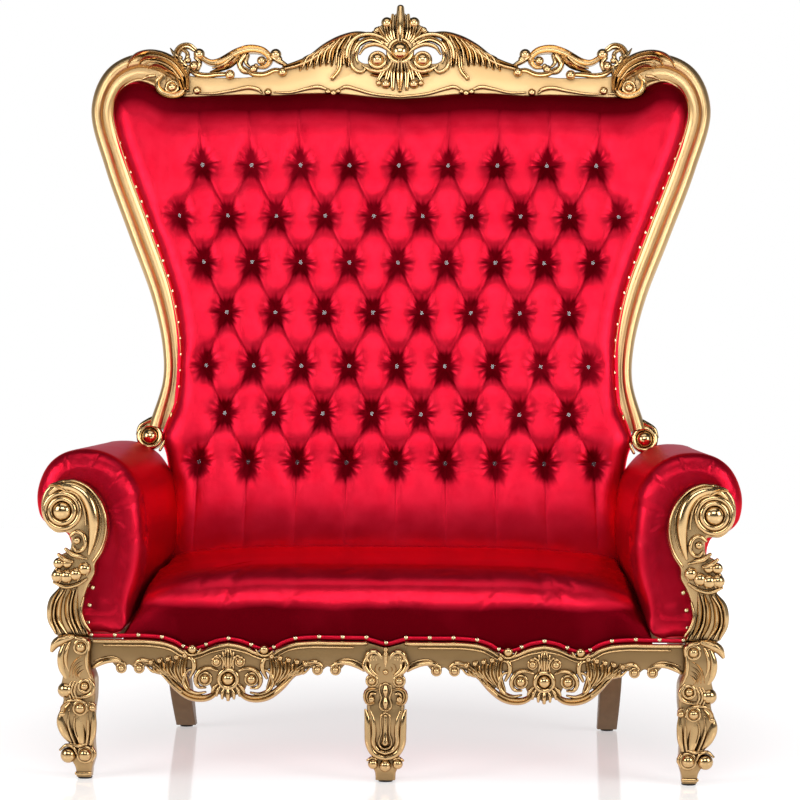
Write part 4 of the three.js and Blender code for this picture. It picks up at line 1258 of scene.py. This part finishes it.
STAR_POINTS = [  # direction in degrees, width in radians and length of each dark fold
    (0, 0.3, 13), (180, 0.3, 13), (90, 0.25, 12), (64, 0.3, 8), (116, 0.3, 8), (-66, 0.42, 19),
    (-114, 0.42, 19),
]


def tufting(x, s):
    """How deep the cloth is drawn in at each place, in millimetres, and how dark it looks there.

    Each button adds a pit that falls off as a stretched bell, with small rays round it and a
    short crease to each side. Each pleat adds a sharp groove, a fainter one on each side near
    its buttons and a wide soft valley. The sum is eased so that it never passes the pit's
    depth. The darkness is painted shade: a ragged star round each button whose points follow
    the pleats, no two the same, and a fine line in each groove.
    """
    total, star, valley, groove = np.zeros((4, *x.shape))
    for start, end in pleats():
        low, high = np.minimum(start, end) - PIT_REACH, np.maximum(start, end) + PIT_REACH
        near = (x > low[0]) & (x < high[0]) & (s > low[1]) & (s < high[1])
        gap, along = to_segment(x[near], s[near], start, end)
        upright_run = abs(start[1] - end[1]) > 150
        nearness = np.maximum(1 - along, 0 if upright_run else along)
        deep = 3.2 + 4.6 * nearness**3
        soft = (0.5 + 2.0 * nearness**2) * np.exp(-((gap / 13) ** 2))
        if upright_run:
            fade = np.clip(1.1 - along, 0, 1)
            deep *= fade
            soft = 3.4 * fade * np.exp(-((gap / 17) ** 2))
        side_lines = np.exp(-np.abs(gap - 10 * (1.4 - nearness)) / 2.4) * nearness**5 * 2.6
        sharp = deep * np.exp(-gap / 2.8) + side_lines
        groove[near] = np.maximum(groove[near], sharp)
        valley[near] = np.maximum(valley[near], soft)
    chance = np.random.default_rng(11)
    for x0, s0 in np.concatenate(button_places()):
        near = (np.abs(x - x0) < 80) & (np.abs(s - s0) < 90)
        dx, ds = x[near] - x0, s[near] - s0
        r = np.hypot(dx, ds / 1.15)
        angle = np.arctan2(ds, dx)
        rays = 0.8 * np.cos(13 * angle + 0.02 * x0) * np.exp(-(((r - 26) / 12) ** 2))
        pit = 25 * np.exp(-((r / 20) ** 1.5)) + 3.5 * np.exp(-((r / 40) ** 2))
        sag = ds - 2.5 * np.sin(x0) - 0.00005 * dx**3
        side_crease = 3.6 * np.exp(-np.abs(sag) / 2.4) * np.exp(-((np.abs(dx) / 38) ** 4))
        total[near] += pit + rays + side_crease
        spread = 21 + 2.4 * np.cos(17 * angle + x0) + 1.8 * np.cos(29 * angle + s0)
        sizes = chance.uniform(0.6, 1.35, len(STAR_POINTS))
        for (at, width, length), size in zip(STAR_POINTS, sizes):
            spread += length * size * lobe(angle, math.radians(at), width)
        # painted shade round the button: a ragged star
        star[near] = np.maximum(star[near], 1 / (1 + (r / spread) ** 9))
    total += groove + valley
    return PIT_DEPTH * (1 - np.exp(-total / PIT_DEPTH)), star * 0.9 + groove * 0.15


def closed_pad(x, front, s, back):
    """Points and faces of a pad: its front grid, a wall round it and one flat back."""
    rows, columns = x.shape
    grid = np.stack([x, front, s], axis=-1).reshape(-1, 3)
    index = np.arange(rows * columns).reshape(rows, columns)
    rim = np.concatenate([index[0], index[1:, -1], index[-1, -2::-1], index[-2:0:-1, 0]])
    behind = grid[rim] * [1, 0, 1] + [0, back, 0]
    new = len(grid) + np.arange(len(rim))
    quads = grid_faces(rows, columns)
    wall = np.column_stack([rim, new, np.roll(new, -1), np.roll(rim, -1)])
    faces = [*quads.tolist(), *wall.tolist(), new[::-1].tolist()]
    return np.concatenate([grid, behind]), faces


def padded_back():
    """The padding's points and faces, and how dark the cloth looks at each point.

    It swells from its sides and top as a quarter circle, thins towards the foot as a quarter
    of a sine wave, and is drawn in by the tufting. Painted shade darkens it round the buttons,
    in the grooves and where it tucks under the crest.
    """
    x, s, u, v = opening_grid(520, 470)
    half = np.abs(x) / np.maximum(np.abs(u), 1e-6)
    from_side = ((1 - np.abs(u)) * half - 6) / 60
    from_top = (s.max(axis=0) - 8 - s) / 120
    swell = np.sqrt(1 - (1 - np.clip(np.minimum(from_side, from_top), 0, 1)) ** 2)
    drawn, star = tufting(x, s)
    above_foot = np.sin(math.pi / 2 * np.clip((s - 400) / 190, 0, 1))
    front = PAD_EDGE - PAD_CROWN * swell * (0.3 + 0.7 * above_foot) + drawn * swell
    points, faces = closed_pad(x, front, s, PAD_EDGE + 22)
    # painted shade along the top, where the cloth tucks under the crest
    tucked = np.clip((v - 0.93) / 0.03, 0, 1)
    hollow = np.append(np.clip(star * swell + tucked, 0, 1), np.zeros(len(points) - x.size))
    return leaned(points), [face[::-1] for face in faces], hollow


points, faces, hollow = padded_back()
tufted_back = mesh_piece("tufted_back", points, faces, red_satin, 80, hollow=hollow)
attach(tufted_back, "root")
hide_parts("back_panel")


# ---- Buttons ----
# Cut-glass buttons on dark metal cups, sewn through the back at the bottom of each pit.

BUTTON_RADIUS = 10.4
BUTTON_PLANE = PAD_EDGE - PAD_CROWN + 27  # the bottom of the pits


def cut_glass():
    """Clear glass; its plain values alone make it see-through."""
    material, shade, put = finish(
        "cut_glass", Transmission_Weight=0.9, IOR=1.5, Base_Color=(0.52, 0.45, 0.50, 1)
    )
    spot = shade.node("ShaderNodeTexCoord", out="Object")
    wear = shade.node("ShaderNodeTexNoise", Vector=spot, Scale=400.0)
    put(Roughness=0.02 + wear * 0.05)
    return material


def cup_metal():
    """Dark polished metal behind the glass."""
    material, shade, put = finish("cup_metal", Metallic=1.0)
    spot = shade.node("ShaderNodeTexCoord", out="Object")
    tarnish = shade.node("ShaderNodeTexNoise", Vector=spot, Scale=250.0)
    put(
        Base_Color=tarnish.blend((0.10, 0.07, 0.08, 1), (0.26, 0.21, 0.23, 1)),
        Roughness=0.15 + tarnish * 0.2,
    )
    return material


def rings_at(places, radii, depths, sides, twist):
    """The same stack of rings round each place: radius, depth and turn of each ring."""
    turn = np.linspace(0, 2 * math.pi, sides, endpoint=False) + np.array(twist)[:, None]
    radii, depths = np.array(radii)[:, None], np.array(depths)[:, None]
    for x0, y0, s0 in places:
        yield np.stack(
            [x0 + radii * np.cos(turn), y0 + depths + 0 * turn, s0 + radii * np.sin(turn)], axis=-1
        )


across, up = np.concatenate(button_places()).T
button_at = np.column_stack([across, np.full(len(up), BUTTON_PLANE), up])
crystals, cups = Carving(leaned), Carving(leaned)
cut = BUTTON_RADIUS * np.array([0.55, 0.94, 1.0, 0.86, 0.55])
facet = math.pi / 10
for stack in rings_at(button_at, cut, [1.5, -0.2, -1.2, -4.0, -6.4], 10, [0, 0, 0, facet, 0]):
    crystals.shell(stack)
for stack in rings_at(button_at, [7, 11.2, 11.2, 10.7], [4.5, 2.6, 0.4, 0.2], 16, [0] * 4):
    cups.shell(stack)
for carving, name, material in (
    (crystals, "button_glass", cut_glass()),
    (cups, "button_cups", cup_metal()),
):
    buttons = carving.piece(name, material, smooth_angle=12)
    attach(buttons, "root")


# ---- Seat ----
# A tight sprung seat in the same satin, crowned from side to side and rolled over its front
# edge. It is sewn down to the front rail between the arms.

SEAT_SECTION = [  # depth, height: up the front, over the top and down behind
    (-394.5, 285), (-395, 345), (-395, 385), (-391, 411), (-381, 435), (-360, 454), (-322, 466),
    (-250, 471), (-150, 472), (-20, 475), (80, 479), (140, 480), (146, 473), (120, 300), (110, 285),
]
SEAT_SIDE = [(285, 600), (318, 596), (377, 575), (444, 553), (512, 545)]  # height, half width
SEAT_SIDE_DROP = 30
SEAT_CORNER_DROP = 26
SEAT_FOLDS = [  # start, end, depth and width of each pull in the cloth near the front edge
    ((-390, -330), (-300, -230), 2.2, 4), ((-470, -345), (-400, -338), 1.4, 4),
    ((-120, -350), (-60, -320), 1.2, 10), ((90, -345), (170, -330), 1.4, 10),
    ((300, -340), (390, -300), 1.6, 9), ((-40, -348), (20, -352), 1.2, 12),
]
CLOTH_PRESSURE = 4
CLOTH_FRAMES = 20


def plumped(name, points, faces, voxel, cap):
    """The shape filled out as cloth blown up from inside, no point moving more than cap.

    The mesh is rebuilt from voxels, run for twenty frames under inner pressure without
    weight, and divided once.
    """
    mesh = bpy.data.meshes.new(name)
    mesh.from_pydata(points.tolist(), [], faces)
    trial = bpy.data.objects.new(name, mesh)
    bpy.context.collection.objects.link(trial)
    grain = trial.modifiers.new("voxels", "REMESH")
    grain.mode = "VOXEL"
    grain.voxel_size = voxel
    trial.data = evaluated_mesh(trial)
    trial.modifiers.clear()
    rest = points_of(trial.data)
    cloth = trial.modifiers.new("cloth", "CLOTH")
    cloth.settings.use_pressure = True
    cloth.settings.uniform_pressure_force = CLOTH_PRESSURE
    cloth.settings.effector_weights.gravity = 0
    cloth.settings.quality = 3
    for number in range(1, CLOTH_FRAMES + 1):
        bpy.context.scene.frame_set(number)
    moved = points_of(evaluated_mesh(trial)) - rest
    trial.modifiers.clear()
    bpy.context.scene.frame_set(1)
    far = np.linalg.norm(moved, axis=1, keepdims=True)
    moved *= np.minimum(1, cap / np.maximum(far, 1e-9))
    trial.data.vertices.foreach_set("co", (rest + moved).ravel())
    finer = trial.modifiers.new("finer", "SUBSURF")
    finer.levels = finer.render_levels = 1
    trial.data = evaluated_mesh(trial)
    trial.modifiers.clear()
    filled = trial.data
    corners = np.empty(len(filled.loops), int)
    filled.loops.foreach_get("vertex_index", corners)
    starts = np.empty(len(filled.polygons), int)
    filled.polygons.foreach_get("loop_start", starts)
    made = points_of(filled), [part.tolist() for part in np.split(corners, starts[1:])]
    bpy.data.objects.remove(trial)
    return made


def evaluated_mesh(thing):
    """A new mesh of the object as its modifiers leave it."""
    graph = bpy.context.evaluated_depsgraph_get()
    return bpy.data.meshes.new_from_object(thing.evaluated_get(graph))


def points_of(mesh):
    """The mesh's points as an array, in metres."""
    flat = np.empty(len(mesh.vertices) * 3)
    mesh.vertices.foreach_get("co", flat)
    return flat.reshape(-1, 3)


def seat_shape():
    """The seat's section carried from side to side, narrowed by height and dropped at the ends."""
    u = np.sin(np.linspace(-math.pi / 2, math.pi / 2, 110))[:, None]
    y, z = through([*SEAT_SECTION, SEAT_SECTION[0]], 150)[:-1].T
    height, half = np.array(SEAT_SIDE, float).T
    top = np.clip((z - 318) / 100, 0, 1)
    ahead = np.clip((-150 - y) / 200, 0, 1)
    drop = SEAT_SIDE_DROP * np.abs(u) ** 4 + SEAT_CORNER_DROP * np.abs(u) ** 9 * ahead
    rings = np.stack(
        [
            u * np.interp(z, height, half),
            y + 26 * np.abs(u) ** 8 * np.clip((-300 - y) / 90, 0, 1),
            z - drop * top,
        ],
        axis=-1,
    )
    carving = Carving(upright)
    carving.shell(rings)
    return upright(np.concatenate(carving.points)), carving.faces


def drag_lines(points, lines):
    """Small folds: each lowers the cloth along a line, as a bell of the distance from it.

    The fold fades out towards both ends of its line as half a sine wave.
    """
    deep = np.zeros(len(points))
    for start, end, depth, width in lines:
        gap, along = to_segment(*points[:, :2].T / MM, np.array(start), np.array(end))
        deep += depth * np.exp(-((gap / width) ** 2)) * np.sin(math.pi * np.clip(along, 0.02, 0.98))
    return deep


def settle(points):
    """Moves the seat's cloth a little where it is sewn down; gives how dark each point looks.

    Three low sine waves ripple it, up and down along the front edge and in and out below it.
    Painted shade darkens it on the front face, under the roll.
    """
    x, y, z = points.T
    ripple = np.sin(x * 23 + 1.0) * 0.4 + np.sin(x * 57 + y * 20 + 0.4) * 0.2
    ripple += np.sin(x * 113 - y * 31) * 0.1
    on_top = np.clip((z - 0.36) / 0.04, 0, 1)
    near_edge = np.exp(-(((y + 0.36) / 0.07) ** 2))
    points[:, 2] += (ripple * near_edge * 1.1 - drag_lines(points, SEAT_FOLDS)) * on_top * MM
    points[:, 1] += ripple * (1 - on_top) * 0.8 * MM * (y < -0.3)
    # painted shade on the front face, below the roll
    below_roll = np.clip((0.400 - z + ripple * 0.005) / 0.02, 0, 1)
    return below_roll * np.clip((-0.3 - y) / 0.05, 0, 1)


points, faces = plumped("seat_trial", *seat_shape(), voxel=0.007, cap=0.006)
dark = settle(points)
seat = mesh_piece("seat", points, faces, red_satin, 60, hollow=dark)
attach(seat, "root")
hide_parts("seat_cushion")


# ---- Arms ----
# Padded rolled arms. The satin is wrapped over each roll and drawn in folds round the front,
# under the carved post.

ARM_FRONT = -377
ARM_OUTLINE = [  # across, up: from the outer foot over the roll to the inner foot, and back
    (722, 322), (718, 420), (714, 520), (727, 545), (757, 553), (784, 577), (793, 622), (785, 667),
    (767, 701), (738, 724), (690, 735), (640, 728), (598, 703), (564, 655), (550, 590), (546, 512),
    (556, 444), (577, 377), (597, 322), (660, 321), (722, 322),
]
ARM_EYE = (672, 596)  # the folds of the facing run towards here
ARM_CREASES = [  # start, end, depth and width of each crease sewn across the front of the roll
    ((575, 706), (640, 636), 3.0, 3.0), ((641, 742), (672, 682), 2.6, 3.0),
    ((726, 726), (716, 676), 2.2, 3.0), ((546, 618), (600, 604), 1.6, 7.0),
    ((552, 540), (604, 520), 1.6, 8.0),
]
ARM_RIM = 40  # radius of the padding where the facing turns into the roll
FACING_SHADE = 0.55  # how dark the painted shade makes the facing inside its padded rim


def arm_shape():
    """The right arm: rings that grow from the eye of the facing to the outline, then run back.

    A ring's share is its size against the outline. The facing lies a little back from its
    padded rim, whose front is a quarter circle; the last ring stands on the leaning frame.
    Folds on the facing are sine waves of the angle about the eye, under a bell of the inset.
    """
    outline = through(ARM_OUTLINE, 180)[:-1]
    eye = np.array(ARM_EYE)
    reach = outline - eye
    size = np.hypot(*reach.T)
    facing_rings = [300, 200, 140, 105, 84, 72, 62, 54, 46, 39, 32, 25, 18, 12, 7, 3, 0.8]
    inset = np.array(facing_rings + [0] * 7)
    share = np.clip(1 - inset[:, None] / size, 0.02, 1)
    rim = np.clip(inset / ARM_RIM, 0, 1)
    facing = np.clip((inset - ARM_RIM) / 45, 0, 1)
    rounding = ARM_RIM * (1 - np.sqrt(1 - (1 - rim) ** 2))
    foot = np.clip((outline[:, 1] - 326) / 70, 0, 1)
    back = BACK_PLANE + (FRAME_BACK - 9) / math.cos(LEAN) + outline[:, 1] * math.tan(LEAN)
    run = np.array([0.0] * 18 + [0.08, 0.2, 0.4, 0.6, 0.8, 1.0])[:, None]
    depth = ARM_FRONT + rounding[:, None] * foot + 9 * facing[:, None]
    depth = depth * (1 - run) + back * run
    angle = np.arctan2(reach[:, 1], reach[:, 0])
    fold = np.sin(19 * angle + 0.7 * np.sin(3 * angle)) + 0.5 * np.sin(31 * angle + 1)
    ring_bell = np.exp(-(((inset - 66) / 20) ** 2))[:, None]
    depth = depth + 1.4 * fold * ring_bell + 3.0 * np.exp(-(((inset - 52) / 7) ** 2))[:, None]
    place = eye + reach * share[..., None]
    rings = np.stack([place[..., 0], depth + 0 * size, place[..., 1]], axis=-1)
    carving = Carving(upright)
    carving.shell(rings)
    return carving


def facing_shade(points, side):
    """How dark each point of the arm's front looks: the more so, the farther inside its rim.

    The darkness is painted shade. The distance from the eye is taken from the outline's
    distance at the same angle.
    """
    outline = through(ARM_OUTLINE, 180)[:-1] - ARM_EYE
    angle = np.arctan2(outline[:, 1], outline[:, 0])
    order = np.argsort(angle)
    far = np.hypot(*outline[order].T)
    at = points[:, [0, 2]] * [side, 1] / MM - ARM_EYE
    edge = np.interp(np.arctan2(at[:, 1], at[:, 0]), angle[order], far, period=2 * math.pi)
    inside = np.clip((edge - np.hypot(*at.T) - 22) / 24, 0, 1)
    # painted shade on the facing, at the front of the arm only
    return inside * (points[:, 1] < -0.3) * FACING_SHADE


for side, hand in ((1, "right"), (-1, "left")):
    carving = arm_shape()
    shape = carving.place(np.concatenate(carving.points))
    shape, faces = plumped("arm_trial", shape, carving.faces, voxel=0.006, cap=0.004)
    creases = drag_lines(shape[:, [0, 2]], ARM_CREASES)
    shape[:, 1] += creases * MM * (shape[:, 1] < -0.28)
    shape[:, 0] *= side
    faces = faces if side > 0 else [face[::-1] for face in faces]
    dark = facing_shade(shape, side)
    arm = mesh_piece("padded_arm_" + hand, shape, faces, red_satin, 70, hollow=dark)
    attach(arm, "root")
    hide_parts("arm_" + hand)


# ---- Outside back ----
# Plain satin stretched over the back of the frame on thin wadding, tacked round its edge.

x, s, u, v = opening_grid(90, 80)
swell = (1 - u**8) * (1 - (2 * v - 1) ** 8)
points, faces = closed_pad(x, 34.5 + 3.0 * swell, s, 27)
outside_back = mesh_piece("outside_back", leaned(points), faces, red_satin, 50)
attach(outside_back, "root")
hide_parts("back_cover")


# ---- Welt and nails ----
# A narrow satin welt hides the raw edge where the cloth meets the wood, held by brass
# dome-headed nails about forty to fifty millimetres apart.

BACK_WELT = 11
SEAT_WELT = 10
NAIL_RADIUS = 4.8
NAIL_INSET = np.array([0.991, 0.9958])  # the nails stand a little inside the frame's edge
OPENING_EDGE = [  # the inner edge of the frame from the arm up, over the ear and to the middle
    (558, 800), (550, 899), (551, 1002), (572, 1118), (606, 1221), (654, 1345), (688, 1431),
    (717, 1510), (731, 1580), (728, 1628), (708, 1658), (676, 1664), (650, 1650), (626, 1630),
    (590, 1625), (545, 1623), (460, 1627), (381, 1629), (314, 1627), (237, 1632), (150, 1631),
    (61, 1622), (0, 1618),
]
WELT_END = (659, 318)  # where the seat's welt meets the post
POST_NAILS = np.array([[670.0, 345], [667, 384], [660, 423]])
LEG_WELT = [(-50, 318), (-28, 312), (0, 305), (28, 312), (50, 318)]  # over the middle leg


def brass():
    """Bright brass, darker and browner towards the rim of each nail, with a random mottle."""
    material, shade, put = finish("brass_nails", Metallic=1.0)
    spot = shade.node("ShaderNodeTexCoord", out="Object")
    age = shade.node("ShaderNodeTexNoise", Vector=spot, Scale=120.0, Detail=3.0)
    recess = shade.node("ShaderNodeAttribute", {"attribute_name": "recess"}, out="Fac")
    # darker towards the foot of each nail, and at random
    tone = (recess * 0.8 + age * 0.3).held()
    put(
        Base_Color=tone.blend((0.9, 0.74, 0.45, 1), (0.3, 0.19, 0.07, 1)),
        Roughness=0.18 + age * 0.15,
    )
    return material


def spaced(path, gap):
    """Points along a smooth path, about gap apart."""
    fine = through(path, 600)
    far = np.append(0, np.cumsum(np.hypot(*np.diff(fine, axis=0).T)))
    steps = np.linspace(0, far[-1], int(far[-1] / gap) + 1)
    return np.column_stack([np.interp(steps, far, fine[:, 0]), np.interp(steps, far, fine[:, 1])])


def nails(carving, places, y):
    """A dome-headed nail at each (across, up)."""
    spots = np.column_stack([places[:, 0], np.full(len(places), y), places[:, 1]])
    dome = NAIL_RADIUS * np.array([0.9, 1.0, 0.9, 0.55])
    for stack in rings_at(spots, dome, [1.0, 0.0, -1.7, -2.9], 8, [0] * 4):
        carving.shell(stack, recess=np.array([[1], [0.8], [0.1], [0]]) + np.zeros((4, 8)))


back_welt, back_nails = Carving(leaned), Carving(leaned)
back_welt.band(OPENING_EDGE, [BACK_WELT] * len(OPENING_EDGE), y=-1, rise=0.22, step=9)
nails(back_nails, spaced(OPENING_EDGE * NAIL_INSET, 41)[:-1], -5.0)
back_welt.mirrored()
back_nails.mirrored()

seat_welt, seat_nails = Carving(upright), Carving(upright)
seat_edge = through(APRON_TOP, 20) + [0, 7]
run_edge = np.concatenate([seat_edge[:0:-1] * OTHER_HALF, seat_edge]) + [RUN_MIDDLE, 0]
clear_of_post = run_edge[:, 0] < WELT_END[0] - 14
run_edge = np.concatenate([run_edge[clear_of_post], [WELT_END]])
seat_welt.band(run_edge, [SEAT_WELT] * len(run_edge), y=APRON_BACK, rise=0.3)
nails(seat_nails, spaced(run_edge, 49) + [0, 2], APRON_BACK - 3.4)
nails(seat_nails, POST_NAILS, ARM_FRONT - 1)
seat_welt.mirrored()
seat_nails.mirrored()
seat_welt.band(LEG_WELT, [SEAT_WELT] * len(LEG_WELT), y=APRON_BACK, rise=0.3)
nails(seat_nails, np.array([[0.0, 308]]), APRON_BACK - 4)

nail_brass = brass()
for carving, name, material, slot in (
    (back_welt, "back_welt", red_satin, "satin"),
    (seat_welt, "seat_welt", red_satin, "satin"),
    (back_nails, "back_nails", nail_brass, "gilding"),
    (seat_nails, "seat_nails", nail_brass, "gilding"),
):
    trim = carving.piece(name, material)
    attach(trim, "root")
